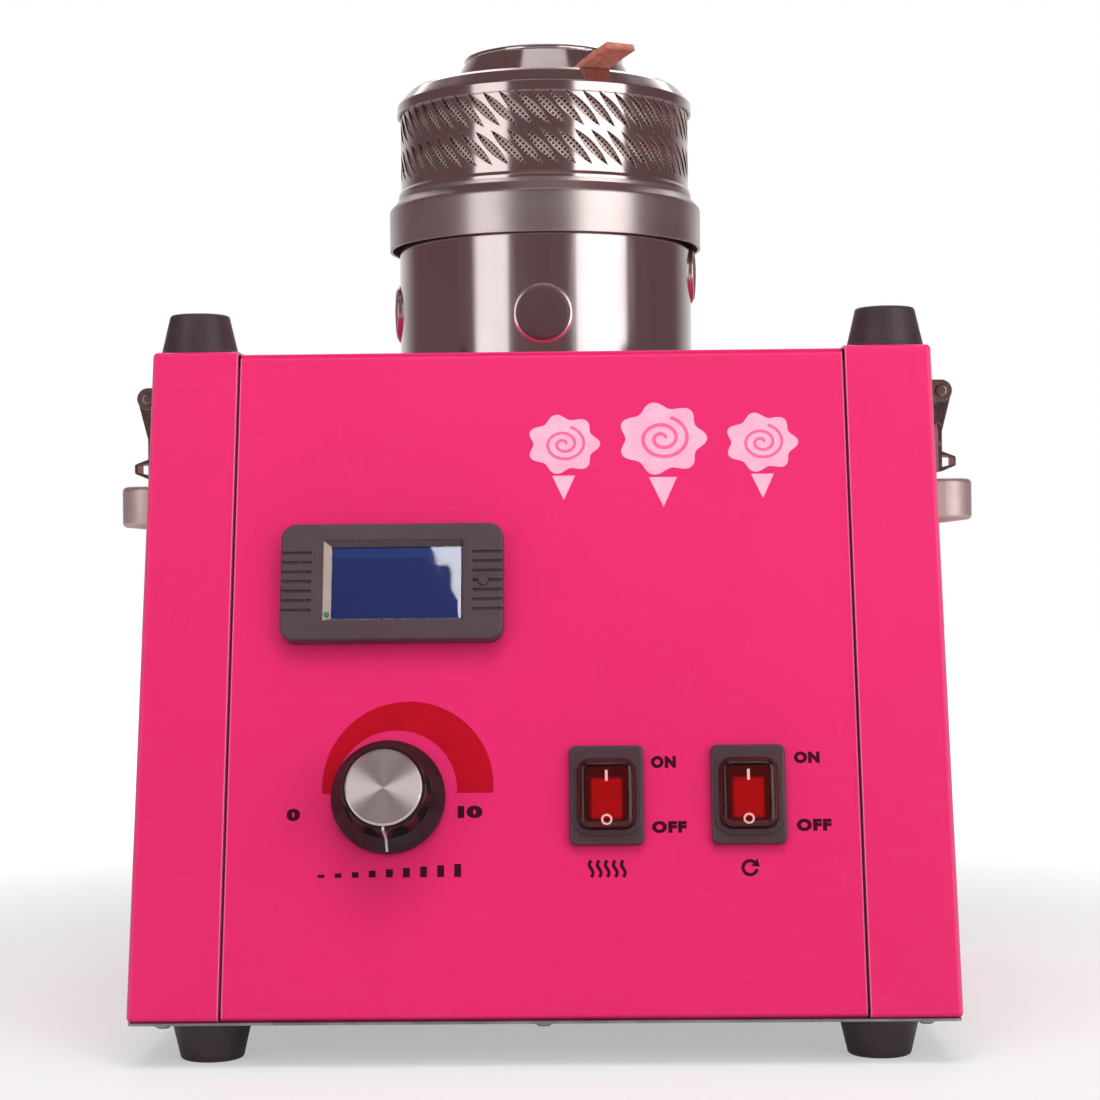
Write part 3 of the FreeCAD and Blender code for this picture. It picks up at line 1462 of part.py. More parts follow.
fan_low = f"({motor_low} - fan_gap - fan_high)"
pan_under = over_roof("(pan_top - pan_sheet)")
drive_shaft = turned("drive_shaft", [
    ("0", f"{fan_low} - bush_spare"),
    ("drive_radius", f"{fan_low} - bush_spare"),
    ("drive_radius", f"{pan_under} - drive_collar"),
    ("drive_collar_radius", f"{pan_under} - drive_collar"),
    ("drive_collar_radius", pan_under),
    ("drive_end_radius", pan_under),
    ("drive_end_radius", over_roof("(pan_top + drive_spare)")),
    ("0", over_roof("(pan_top + drive_spare)")),
])
place(drive_shaft, *on_axis)
fan_turns = [f"{index}*360/fan_count" for index in range(int(value("fan_count")))]
fan_blades = []
for turn in fan_turns:
    blade = block(
        "fan_radius - fan_hub_radius + fan_blade",
        "fan_blade",
        "fan_high",
        "(fan_radius + fan_hub_radius - fan_blade)/2",
        "0",
        "0",
    )
    fan_blades += copies(bundle("blade_master", [blade]), [("0", "0", "0", (0, 0, 1), f"{turn}*1deg")])
fan_body = join("fan_body", [
    rod("fan_hub_radius", "fan_high"),
    rod("fan_radius", "fan_blade"),
    *fan_blades,
])
cooling_fan = cut("cooling_fan", fan_body, [rod("drive_radius + run_gap", "fan_high")])
place(cooling_fan, *on_axis, fan_low)
hub_low = over_roof("(first_port - hub_over)")
hub_high = over_roof("(first_port + 2*port_step + hub_over)")
slip_ring_hub = sleeve("slip_ring_hub", "drive_radius + run_gap", "hub_radius", hub_low, hub_high)
slip_rings = bundle("slip_rings", [
    sleeve(
        "slip_ring",
        "hub_radius + run_gap",
        "ring_radius",
        over_roof(f"(first_port + {step}*port_step - ring_high/2)"),
        over_roof(f"(first_port + {step}*port_step + ring_high/2)"),
    )
    for _, step in port_directions
])
hub_nut = hexagon("hub_nut_radius", "hub_nut_high", "drive_end_radius + run_gap", "hub_nut")
place(hub_nut, *on_axis, over_roof("pan_top"))
pieces += [drive_shaft, cooling_fan, slip_ring_hub, slip_rings, hub_nut]

# ---- spinning head ----
head_pan = turned("head_pan", [
    ("collar_radius - pan_sheet", over_roof("collar_bottom")),
    ("collar_radius", over_roof("collar_bottom")),
    ("collar_radius", over_roof("collar_shoulder")),
    ("pan_crown_radius", over_roof("(pan_top - pan_bead)")),
    ("pan_crown_radius", over_roof("pan_top")),
    ("drive_end_radius + run_gap", over_roof("pan_top")),
    ("drive_end_radius + run_gap", pan_under),
    ("pan_crown_radius - pan_sheet", pan_under),
    ("collar_radius - pan_sheet", over_roof("collar_shoulder")),
])
soften(head_pan, "2*pan_sheet", lambda edge: circle_of(edge, "collar_radius", over_roof("collar_shoulder")))
place(head_pan, *on_axis)

band_blank = turned("band_blank", [
    ("band_radius - band_wall", over_roof("pan_top")),
    ("pan_crown_radius", over_roof("pan_top")),
    ("pan_crown_radius", over_roof("(pan_top + band_curl/2)")),
    ("band_radius", over_roof("(pan_top + band_curl)")),
    ("band_radius", over_roof("band_top")),
    ("band_radius - band_wall", over_roof("band_top")),
])
curl_high = over_roof("(pan_top + band_curl/2)")
soften(band_blank, "band_wall*band_soft_share", lambda edge: circle_of(edge, "pan_crown_radius", curl_high))
place(band_blank, *on_axis)
# A leaf-shaped slot is where two large rounds overlap.
leaf_radius = "((slot_long^2 + slot_thick^2)/(4*slot_thick))"
leaf_offset = f"({leaf_radius} - slot_thick/2)"
leaf = doc.addObject("Part::Common", "leaf")
leaf.Base, leaf.Tool = [
    rod(leaf_radius, "4*band_curl", "-2*band_curl", "0", f"{side}*{leaf_offset}", "+X") for side in sides
]
place(leaf, "band_radius", "0", "0", (1, 0, 0), "slot_lean*1deg")
leaf_master = bundle("leaf_master", [leaf])
slot_spots = []
for row in range(int(value("slot_rows"))):
    row_high = over_roof(f"(slot_row_low + {row}*slot_row_step)")
    for index in range(int(value("slot_count"))):
        slot_spots.append((*on_axis, row_high, (0, 0, 1), f"({index} + {row}/2)*360deg/slot_count"))
mesh_band = cut("mesh_band", band_blank, copies(leaf_master, slot_spots))
mesh_inner, band_low, band_high = "mesh_radius - mesh_wall", over_roof("pan_top"), over_roof("band_top")
mesh_screen = sleeve("mesh_screen", mesh_inner, "mesh_radius", band_low, band_high)

heater_rings = []
for index in range(int(value("heater_turns"))):
    ring = doc.addObject("Part::Torus", "heater_ring")
    bind(ring, "Radius1", "heater_radius")
    bind(ring, "Radius2", "heater_tube")
    heater_rings.append(place(ring, *on_axis, over_roof(f"(heater_low + {index}*heater_pitch)")))
leg_turns = [f"(30 + {index}*360/heater_legs)" for index in range(int(value("heater_legs")))]
leg_tall = "heater_low + (heater_turns - 1)*heater_pitch - pan_top"
heater_element = join("heater_element", heater_rings + [
    rod(
        "heater_leg_radius",
        leg_tall,
        f"heater_radius*cos({turn})",
        f"{head_y} + heater_radius*sin({turn})",
        over_roof("pan_top"),
    )
    for turn in leg_turns
])

ridge_side = "lid_ridge_wide*ridge_side_share"
lid_blank = turned("lid_blank", [
    ("lid_radius - lid_sheet", over_roof("lid_rim_bottom")),
    ("lid_radius", over_roof("lid_rim_bottom")),
    ("lid_radius", over_roof("lid_rim_top")),
    (f"lid_ridge_radius + {ridge_side}", over_roof("(lid_ridge - lid_sheet)")),
    ("lid_ridge_radius", over_roof("lid_ridge")),
    ("lid_ridge_radius - lid_ridge_wide", over_roof("lid_flat")),
    ("neck_foot_radius", over_roof("lid_flat")),
    ("neck_radius", over_roof("(neck_top - neck_curl)")),
    ("neck_radius - lid_sheet", over_roof("(neck_top - neck_curl)")),
    ("neck_foot_radius - lid_sheet", over_roof("(lid_flat - lid_sheet)")),
    (f"lid_ridge_radius - {ridge_side}", over_roof("(lid_flat - lid_sheet)")),
    ("lid_ridge_radius", over_roof("(lid_ridge - ridge_under_share*lid_sheet)")),
    ("lid_radius - lid_sheet", over_roof("(lid_rim_top - lid_sheet/2)")),
])
soften(lid_blank, "lid_round", lambda edge: circle_of(edge, "lid_radius", over_roof("lid_rim_top")))
soften(lid_blank, "3*lid_round", lambda edge: circle_of(edge, "neck_foot_radius", over_roof("lid_flat")))
place(lid_blank, *on_axis)
lid_bolt_turns = [f"(90 + {index}*360/lid_bolt_count)" for index in range(int(value("lid_bolt_count")))]
lid_bolt_spots = [
    (f"lid_bolt_circle*cos({turn})", f"{head_y} + lid_bolt_circle*sin({turn})") for turn in lid_bolt_turns
]
mouth_roll = doc.addObject("Part::Torus", "mouth_roll")
bind(mouth_roll, "Radius1", "neck_radius - lid_sheet/2")
bind(mouth_roll, "Radius2", "neck_curl")
place(mouth_roll, *on_axis, over_roof("(neck_top - neck_curl)"))
head_lid = cut("head_lid", join("lid_whole", [lid_blank, mouth_roll]), [
    rod("lid_bolt_radius + fit_gap", "8*lid_sheet", x, y, over_roof("(lid_flat - 4*lid_sheet)"))
    for x, y in lid_bolt_spots
])
bolt_long, lid_high = "lid_flat - pan_top", over_roof("lid_flat")
lid_bolt = pan_screw("lid_bolt", "lid_bolt_radius", "lid_bolt_head", "lid_bolt_dome", bolt_long)
lid_bolts = bundle("lid_bolts", copies(lid_bolt, [(x, y, lid_high, *flip) for x, y in lid_bolt_spots]))
pieces += [head_pan, mesh_band, mesh_screen, heater_element, head_lid, lid_bolts]

# Two leather pulls, riveted to the lid. Each lies flat at its rivet, then leans up and outwards and turns a
# little. Own X runs out from the axis.
tab_from, tab_out, tab_root = value("tab_from"), value("tab_out"), value("tab_root")
strap_wide, leather = value("tab_leather_wide"), value("tab_leather")
tab_rise, tab_sway = value("tab_rise"), value("tab_sway")


def leather_section(share):
    """The strap's section at a share of the way along its free end."""
    twist = Rotation(Vector(0, 0, 1), value("tab_twist") * share)
    lean = Rotation(Vector(1, 0, 0), Vector(tab_out, 0, tab_rise * min(1, share / value("strap_bend_share"))))
    high = leather / 2 + tab_rise * share ** value("strap_rise_power")
    middle = Vector(tab_from + tab_root + tab_out * share, tab_sway * share, high)
    corners = [Vector(0, y * strap_wide / 2, z * leather / 2) for y, z in ((-1, -1), (1, -1), (1, 1), (-1, 1))]
    placed = [middle + twist.multVec(lean.multVec(corner)) for corner in corners]
    return Part.makePolygon(placed + placed[:1])


section_count = 4
sections = [leather_section(index / section_count) for index in range(section_count + 1)]
standing = Part.makeLoft(sections, True, False)
lying = Part.makeBox(tab_root, strap_wide, leather, Vector(tab_from, -strap_wide / 2, 0))
strap = doc.addObject("Part::Feature", "strap")
strap.Shape = lying.fuse(standing).removeSplitter()
rivet_from = "(tab_from + tab_root/2)"
strap_hole = rod("lid_bolt_radius", "4*tab_leather", rivet_from, "0", "-tab_leather")
strap_master = cut("strap_master", strap, [strap_hole])
tab_spots = [
    (*on_axis, over_roof("lid_flat"), (0, 0, 1), f"(tab_bearing + {turn})*1deg") for turn in (0, 180)
]
leather_tabs = bundle("leather_tabs", copies(strap_master, tab_spots))
rivet_body = turned("rivet_body", [
    ("0", "0"),
    ("lid_bolt_radius - run_gap", "0"),
    ("lid_bolt_radius - run_gap", "tab_leather"),
    ("rivet_radius", "tab_leather"),
    ("rivet_radius", "tab_leather + rivet_high*rivet_rim_share"),
    ("rivet_radius*rivet_crown_share", "tab_leather + rivet_high"),
    ("0", "tab_leather + rivet_high"),
])
place(rivet_body, rivet_from)
rivet_master = bundle("rivet_master", [rivet_body])
tab_rivets = bundle("tab_rivets", copies(rivet_master, tab_spots))
pieces += [leather_tabs, tab_rivets]

# ---- electrics inside ----
board_low = over_base("board_post")
board_top = f"({board_low} + board_thick)"
board_blank = block("board_wide", "board_deep", "board_thick", board_x, board_y, board_low)
drilled = cut("drilled_board", board_blank, [
    rod("screw_radius", "4*board_thick", x, y, f"{board_low} - board_thick") for x, y in post_spots
])
part_y, block_y = f"{board_y} + board_deep/4", f"{board_y} + board_deep/2 - block_deep"
control_board = join("control_board", [
    drilled,
    *[rod("part_radius", "part_high", f"{board_x} + {side}*board_wide/4", part_y, board_top) for side in sides],
    block("block_wide", "block_deep", "block_high", board_x, block_y, board_top),
])
sink_low = board_top
heatsink = join("heatsink", [
    block("sink_wide", "sink_deep", "fin_foot", board_x, f"{board_y} - sink_deep/2", sink_low),
    *[
        block(
            "fin_thick",
            "sink_deep",
            "sink_high",
            f"{board_x} + ({index} - (fin_count - 1)/2)*(sink_wide - fin_thick)/(fin_count - 1)",
            f"{board_y} - sink_deep/2",
            sink_low,
        )
        for index in range(int(value("fin_count")))
    ],
])
board_post = turned("board_post", [
    ("0", "-base_sheet"),
    ("board_stud_radius", "-base_sheet"),
    ("board_stud_radius", "0"),
    ("board_post_radius", "0"),
    ("board_post_radius", "board_post"),
    ("board_stud_radius", "board_post"),
    ("board_stud_radius", "board_post + 2*board_thick"),
    ("0", "board_post + 2*board_thick"),
])
board_posts = bundle("board_posts", copies(board_post, [(x, y, floor) for x, y in post_spots]))

# Appliance inlet in the back panel.
panel_back = f"({rear} - sheet)"
inlet_body = join("inlet_body", [
    block(
        "inlet_flange_wide",
        "inlet_flange",
        "inlet_flange_tall",
        inlet_x,
        f"{panel_back} + inlet_flange/2",
        f"{inlet_z} - inlet_flange_tall/2",
    ),
    block(
        "inlet_wide",
        "inlet_deep",
        "inlet_tall",
        inlet_x,
        f"{panel_back} - inlet_deep/2",
        f"{inlet_z} - inlet_tall/2",
    ),
])
socket_floor = f"({panel_back} + inlet_wall - inlet_deep)"
mains_inlet = cut("mains_inlet", inlet_body, [
    block(
        "inlet_wide - 2*inlet_wall",
        "inlet_deep + 2*inlet_flange - inlet_wall",
        "inlet_tall - 2*inlet_wall",
        inlet_x,
        f"{socket_floor} + (inlet_deep + 2*inlet_flange - inlet_wall)/2",
        f"{inlet_z} - inlet_tall/2 + inlet_wall",
    ),
    *[rod(screw_hole, "6*inlet_flange", x, panel_back, inlet_z, "+Y") for x in inlet_screw_xs],
])
inlet_pins = bundle("inlet_pins", [
    block(
        "pin_wide",
        "pin_long",
        "pin_tall",
        f"{inlet_x} + {across}*pin_step",
        f"{socket_floor} + pin_long/2",
        f"{inlet_z} - pin_tall/2 + ({up})",
    )
    for across, up in ((-1, "-pin_drop/2"), (0, "pin_drop/2"), (1, "-pin_drop/2"))
])
pieces += [control_board, heatsink, board_posts, mains_inlet, inlet_pins]

# ---- checks and files ----
doc.recompute()
for item in doc.Objects:
    if {"Invalid", "Error"} & set(item.State):
        raise RuntimeError(f"{item.Label} did not build")
for piece in pieces:
    if piece.Shape.isNull() or not piece.Shape.isValid():
        raise RuntimeError(f"{piece.Label} is not a sound shape")

os.makedirs("parts", exist_ok=True)
for piece in pieces:
    piece.Shape.exportStep(f"parts/{piece.Label}.step")
print(f"{len(pieces)} pieces written")
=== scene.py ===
import json
import math

import bmesh
import bpy
from mathutils import Matrix, Vector
from mathutils.bvhtree import BVHTree


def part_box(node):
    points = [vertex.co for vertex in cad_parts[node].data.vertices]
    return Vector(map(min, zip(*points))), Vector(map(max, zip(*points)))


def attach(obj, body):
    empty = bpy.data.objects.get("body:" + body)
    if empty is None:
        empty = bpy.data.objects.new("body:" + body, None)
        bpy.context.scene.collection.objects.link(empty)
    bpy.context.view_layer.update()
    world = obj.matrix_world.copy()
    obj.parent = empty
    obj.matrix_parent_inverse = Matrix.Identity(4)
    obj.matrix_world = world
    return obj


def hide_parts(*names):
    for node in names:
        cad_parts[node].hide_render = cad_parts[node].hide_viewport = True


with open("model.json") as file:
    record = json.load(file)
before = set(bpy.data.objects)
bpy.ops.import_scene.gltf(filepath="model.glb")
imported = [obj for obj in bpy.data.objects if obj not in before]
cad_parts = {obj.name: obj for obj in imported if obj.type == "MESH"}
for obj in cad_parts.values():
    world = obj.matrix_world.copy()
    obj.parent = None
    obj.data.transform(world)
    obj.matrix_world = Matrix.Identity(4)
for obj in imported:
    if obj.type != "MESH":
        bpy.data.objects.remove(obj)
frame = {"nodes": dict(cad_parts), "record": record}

for starter in ("Cube", "Light", "Camera"):  # a fresh Blender file's own things
    if starter in bpy.data.objects:
        bpy.data.objects.remove(bpy.data.objects[starter])
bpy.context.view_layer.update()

mm = 0.001
nodes = frame["nodes"]
slotOf = {part["node"]: part["material_slot"] for part in frame["record"]["subparts"]}
right = Vector((1, 0, 0))
upwards = Vector((0, 0, 1))
print("frame loaded:", len(nodes), "nodes")


# places taken from the frame

def reach(node, direction):  # a node's nearest and furthest extent along a direction
    spans = [vertex.co.dot(direction) for vertex in nodes[node].data.vertices]
    return min(spans), max(spans)


def middleAlong(node, direction):
    low, high = reach(node, direction)
    return (low + high) / 2


panelOut = max(
    (face for face in nodes["front_panel"].data.polygons if face.normal.y < -0.5),
    key=lambda face: face.area,
).normal.copy()
panelUp = panelOut.cross(right)
panelFace = reach("front_panel", panelOut)[1]
headLow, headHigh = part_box("head_pan")
headAxis = Vector((0, (headLow.y + headHigh.y) / 2, 0))


def onPanel(across, along, out=0.0):  # a point on the sloping panel, metres out of its face
    return right * across + panelUp * along + panelOut * (panelFace + out)


knobAcross = middleAlong("knob_cap", right)
knobAlong = middleAlong("knob_cap", panelUp)
switchAlong = middleAlong("switch_frames", panelUp)
heatAcross = middleAlong("heat_rocker", right)
motorAcross = middleAlong("motor_rocker", right)


# shader building

def srgb(red, green, blue):  # 0 to 255 display values to a linear colour
    shares = [value / 255 for value in (red, green, blue)]
    linear = [s / 12.92 if s <= 0.04045 else ((s + 0.055) / 1.055) ** 2.4 for s in shares]
    return (*linear, 1.0)


def addNode(tree, kind, inputs=None, **settings):
    node = tree.nodes.new("ShaderNode" + kind)
    for label, value in settings.items():
        setattr(node, label, value)
    for socket, value in (inputs or {}).items():
        if isinstance(value, bpy.types.NodeSocket):
            tree.links.new(value, node.inputs[socket])
        else:
            node.inputs[socket].default_value = value
    return node


def addGroup(tree, group, place, **inputs):
    return addNode(tree, "Group", {"Place": place, **inputs}, node_tree=group).outputs


def mathNode(tree, operation, first, second=0.0, third=0.0, clamp=False):
    inputs = {0: first, 1: second, 2: third}
    return addNode(tree, "Math", inputs, operation=operation, use_clamp=clamp).outputs[0]


def product(tree, first, second, clamp=False):
    return mathNode(tree, "MULTIPLY", first, second, clamp=clamp)


def vectorNode(tree, operation, first, second=(0, 0, 0)):
    node = addNode(tree, "VectorMath", {0: first, 1: second}, operation=operation)
    scalar = operation in ("DOT_PRODUCT", "LENGTH")
    return node.outputs["Value" if scalar else "Vector"]


def remap(tree, value, fromLow, fromHigh, toLow=0.0, toHigh=1.0):
    inputs = {"Value": value, "From Min": fromLow, "From Max": fromHigh, "To Min": toLow, "To Max": toHigh}
    return addNode(tree, "MapRange", inputs, interpolation_type="SMOOTHSTEP").outputs[0]


def awayFrom(tree, place, middle):  # distance to either side of a middle
    return mathNode(tree, "ABSOLUTE", mathNode(tree, "SUBTRACT", place, middle))


def blendColours(tree, share, first, second):
    return addNode(tree, "Mix", {0: share, 6: first, 7: second}, data_type="RGBA").outputs[2]


def noise(tree, place, scale, detail=2.0):
    return addNode(tree, "TexNoise", {"Vector": place, "Scale": scale, "Detail": detail}).outputs["Fac"]


def startGroup(name, **inputs):  # every group takes the place that is shaded
    group = bpy.data.node_groups.new(name, "ShaderNodeTree")
    for label, value in {"Place": (0, 0, 0), **inputs}.items():
        kind = "Float" if isinstance(value, (int, float)) else ("Color" if len(value) == 4 else "Vector")
        socket = group.interface.new_socket(name=label, in_out="INPUT", socket_type="NodeSocket" + kind)
        socket.default_value = value
    return group, group.nodes.new("NodeGroupInput").outputs


def endGroup(group, results):
    kinds = {"VALUE": "Float", "RGBA": "Color", "VECTOR": "Vector"}
    for label, socket in results.items():
        kind = "NodeSocket" + kinds[socket.type]
        group.interface.new_socket(name=label, in_out="OUTPUT", socket_type=kind)
    last = group.nodes.new("NodeGroupOutput")
    for label, socket in results.items():
        group.links.new(socket, last.inputs[label])
    return group


middleValues = (0.3, 0.7)  # where most of a noise's values lie
wearRange = {"bend": (0.01, 0.2), "patches": (0.35, 0.65)}
scratches = {"range": (0.66, 0.74), "sets": ((0.7, (1, 26, 1.3)), (-0.5, (22, 1, 1.6)))}  # turn and stretch
wireGap = (0.15, 0.55)


def makeColourDrift():  # slow uneven change from one tone to another
    white = (1, 1, 1, 1)
    group, given = startGroup("colourDrift", First=white, Second=white, Scale=20.0, Amount=0.5)
    cloud = noise(group, given["Place"], given["Scale"], 4.0)
    share = product(group, remap(group, cloud, *middleValues), given["Amount"])
    colour = blendColours(group, share, given["First"], given["Second"])
    return endGroup(group, {"Colour": colour, "Mask": share})


def makeFineGrain():  # moulded or sprayed surface texture
    group, given = startGroup("fineGrain", Scale=1500.0, Sharpness=0.5)
    soft = noise(group, given["Place"], given["Scale"])
    cells = addNode(group, "TexVoronoi", {"Vector": given["Place"], "Scale": given["Scale"]})
    sharp = product(group, cells.outputs["Distance"], given["Sharpness"])
    return endGroup(group, {"Height": mathNode(group, "ADD", soft, sharp)})


def makeEdgeWear():  # rubbed corners, with the corner's softened normal
    group, given = startGroup("edgeWear", Radius=0.0006, Amount=0.5, Patches=90.0)
    rounded = addNode(group, "Bevel", {"Radius": given["Radius"]}, samples=4).outputs["Normal"]
    flat = addNode(group, "NewGeometry").outputs["Normal"]
    bend = mathNode(group, "SUBTRACT", 1.0, vectorNode(group, "DOT_PRODUCT", rounded, flat))
    patches = remap(group, noise(group, given["Place"], given["Patches"], 3.0), *wearRange["patches"])
    broken = product(group, remap(group, bend, *wearRange["bend"]), patches)
    return endGroup(group, {"Mask": product(group, broken, given["Amount"], clamp=True), "Normal": rounded})


def makeFineScratches():  # two crossing sets of hair-thin rubs
    group, given = startGroup("fineScratches", Scale=60.0, Amount=0.5)
    total = 0.0
    for turn, stretch in scratches["sets"]:
        way = {"Vector": given["Place"], "Rotation": (turn, turn / 2, turn), "Scale": stretch}
        laid = addNode(group, "Mapping", way).outputs[0]
        rubs = noise(group, laid, given["Scale"], 1.0)
        total = mathNode(group, "ADD", total, remap(group, rubs, *scratches["range"]))
    return endGroup(group, {"Mask": product(group, total, given["Amount"], clamp=True)})


def makeTurnedMarks():  # rings left by turning or spinning about an axis
    group, given = startGroup("turnedMarks", Centre=(0, 0, 0), Axis=(0, 0, 1), Scale=2500.0)
    arm = vectorNode(group, "SUBTRACT", given["Place"], given["Centre"])
    height = vectorNode(group, "DOT_PRODUCT", arm, given["Axis"])
    radius = vectorNode(group, "LENGTH", vectorNode(group, "CROSS_PRODUCT", arm, given["Axis"]))
    section = addNode(group, "CombineXYZ", {0: radius, 1: height}).outputs[0]
    broad = noise(group, section, product(group, given["Scale"], 0.12))
    fine = noise(group, section, given["Scale"])
    return endGroup(group, {"Height": fine, "Tone": remap(group, broad, *middleValues)})


def makeDrawnMarks():  # straight brushing along the short side of Stretch
    group, given = startGroup("drawnMarks", Stretch=(60, 60, 3000))
    laid = vectorNode(group, "MULTIPLY", given["Place"], given["Stretch"])
    fine, broad = noise(group, laid, 1.0, 3.0), noise(group, laid, 0.15, 1.0)
    return endGroup(group, {"Height": fine, "Tone": remap(group, broad, *middleValues)})


def makeWovenWires():  # crossing wires wrapped round an upright axis
    group, given = startGroup("wovenWires", Centre=(0, 0, 0), Radius=0.06, Pitch=0.001)
    arm = vectorNode(group, "SUBTRACT", given["Place"], given["Centre"])
    sides = addNode(group, "SeparateXYZ", {0: arm}).outputs
    turn = mathNode(group, "ARCTAN2", sides["Y"], sides["X"])
    around = mathNode(group, "DIVIDE", product(group, turn, given["Radius"]), given["Pitch"])
    rise = mathNode(group, "DIVIDE", sides["Z"], given["Pitch"])
    waves = []
    for way in ("ADD", "SUBTRACT"):
        along = mathNode(group, way, around, rise)
        waves.append(mathNode(group, "COSINE", product(group, along, math.pi)))
    crossing = mathNode(group, "MAXIMUM", *waves)
    return endGroup(group, {"Height": crossing, "Open": remap(group, crossing, *wireGap, 1.0, 0.0)})


colourDrift = makeColourDrift()
fineGrain = makeFineGrain()
edgeWear = makeEdgeWear()
fineScratches = makeFineScratches()
turnedMarks = makeTurnedMarks()
drawnMarks = makeDrawnMarks()
wovenWires = makeWovenWires()
print("shader groups made")

plainLook = {  # what a finish has unless it says otherwise, with edge and depth in millimetres
    "shader": {}, "driftScale": 15.0, "drift": 0.6, "edge": 0.4, "wear": 0.3, "patches": 120.0,
    "rubScale": 55.0, "rubs": 0.2, "grainScale": 1200.0, "grainSharpness": 0.5, "grain": 0.1,
    "wornRough": 0.1, "bump": 0.25, "depth": 0.1,
}


def makeFinish(name, own):  # one finish from its values: tones, wear, grain, marks and gloss
    look = {**plainLook, **own}
    first, second, wornTone = (srgb(*tone) for tone in look["tones"])
    material = bpy.data.materials.new(name)
    material.use_nodes = True
    tree = material.node_tree
    shader = tree.nodes["Principled BSDF"]
    for socket, value in look["shader"].items():
        shader.inputs[socket].default_value = value
    place = addNode(tree, "TexCoord").outputs["Object"]
    drifting = {"First": first, "Second": second, "Scale": look["driftScale"], "Amount": look["drift"]}
    drift = addGroup(tree, colourDrift, place, **drifting)
    wearing = {"Radius": look["edge"] * mm, "Amount": look["wear"], "Patches": look["patches"]}
    wear = addGroup(tree, edgeWear, place, **wearing)
    rubs = addGroup(tree, fineScratches, place, Scale=look["rubScale"], Amount=look["rubs"])
    worn = mathNode(tree, "MAXIMUM", wear["Mask"], rubs["Mask"])
    colour = blendColours(tree, worn, drift["Colour"], wornTone)
    grain = addGroup(tree, fineGrain, place, Scale=look["grainScale"], Sharpness=look["grainSharpness"])
    height = product(tree, grain["Height"], look["grain"])
    tone = drift["Mask"]
    marks = []
    if "turned" in look:
        marks.append(addGroup(tree, turnedMarks, place, **look["turned"]))
    if "drawn" in look:
        marks.append(addGroup(tree, drawnMarks, place, Stretch=look["drawn"]))
    for mark in marks:
        height = mathNode(tree, "ADD", height, product(tree, mark["Height"], look["marks"]))
        tone = product(tree, tone, mark["Tone"])
    roughLow, roughHigh = look["roughness"]
    rough = mathNode(tree, "MULTIPLY_ADD", tone, roughHigh - roughLow, roughLow)
    rough = mathNode(tree, "MULTIPLY_ADD", worn, look["wornRough"], rough, clamp=True)
    bump = addNode(tree, "Bump", {
        "Strength": look["bump"], "Distance": look["depth"] * mm, "Height": height, "Normal": wear["Normal"],
    })
    tree.links.new(colour, shader.inputs["Base Color"])
    tree.links.new(rough, shader.inputs["Roughness"])
    tree.links.new(bump.outputs[0], shader.inputs["Normal"])
    if "tangent" in look:  # stretches highlights across the turning marks
        tangent = addNode(tree, "Tangent", direction_type="RADIAL", axis=look["tangent"])
        tree.links.new(tangent.outputs[0], shader.inputs["Tangent"])
    return material, tree, shader, place


def metal(shine, spread=0.0, turn=0.0):
    return {"Metallic": shine, "Anisotropic": spread, "Anisotropic Rotation": turn}


headTurning = {"Centre": headAxis, "Axis": upwards, "Scale": 2600.0}
capTurning = {"Centre": onPanel(knobAcross, knobAlong), "Axis": panelOut, "Scale": 3800.0}

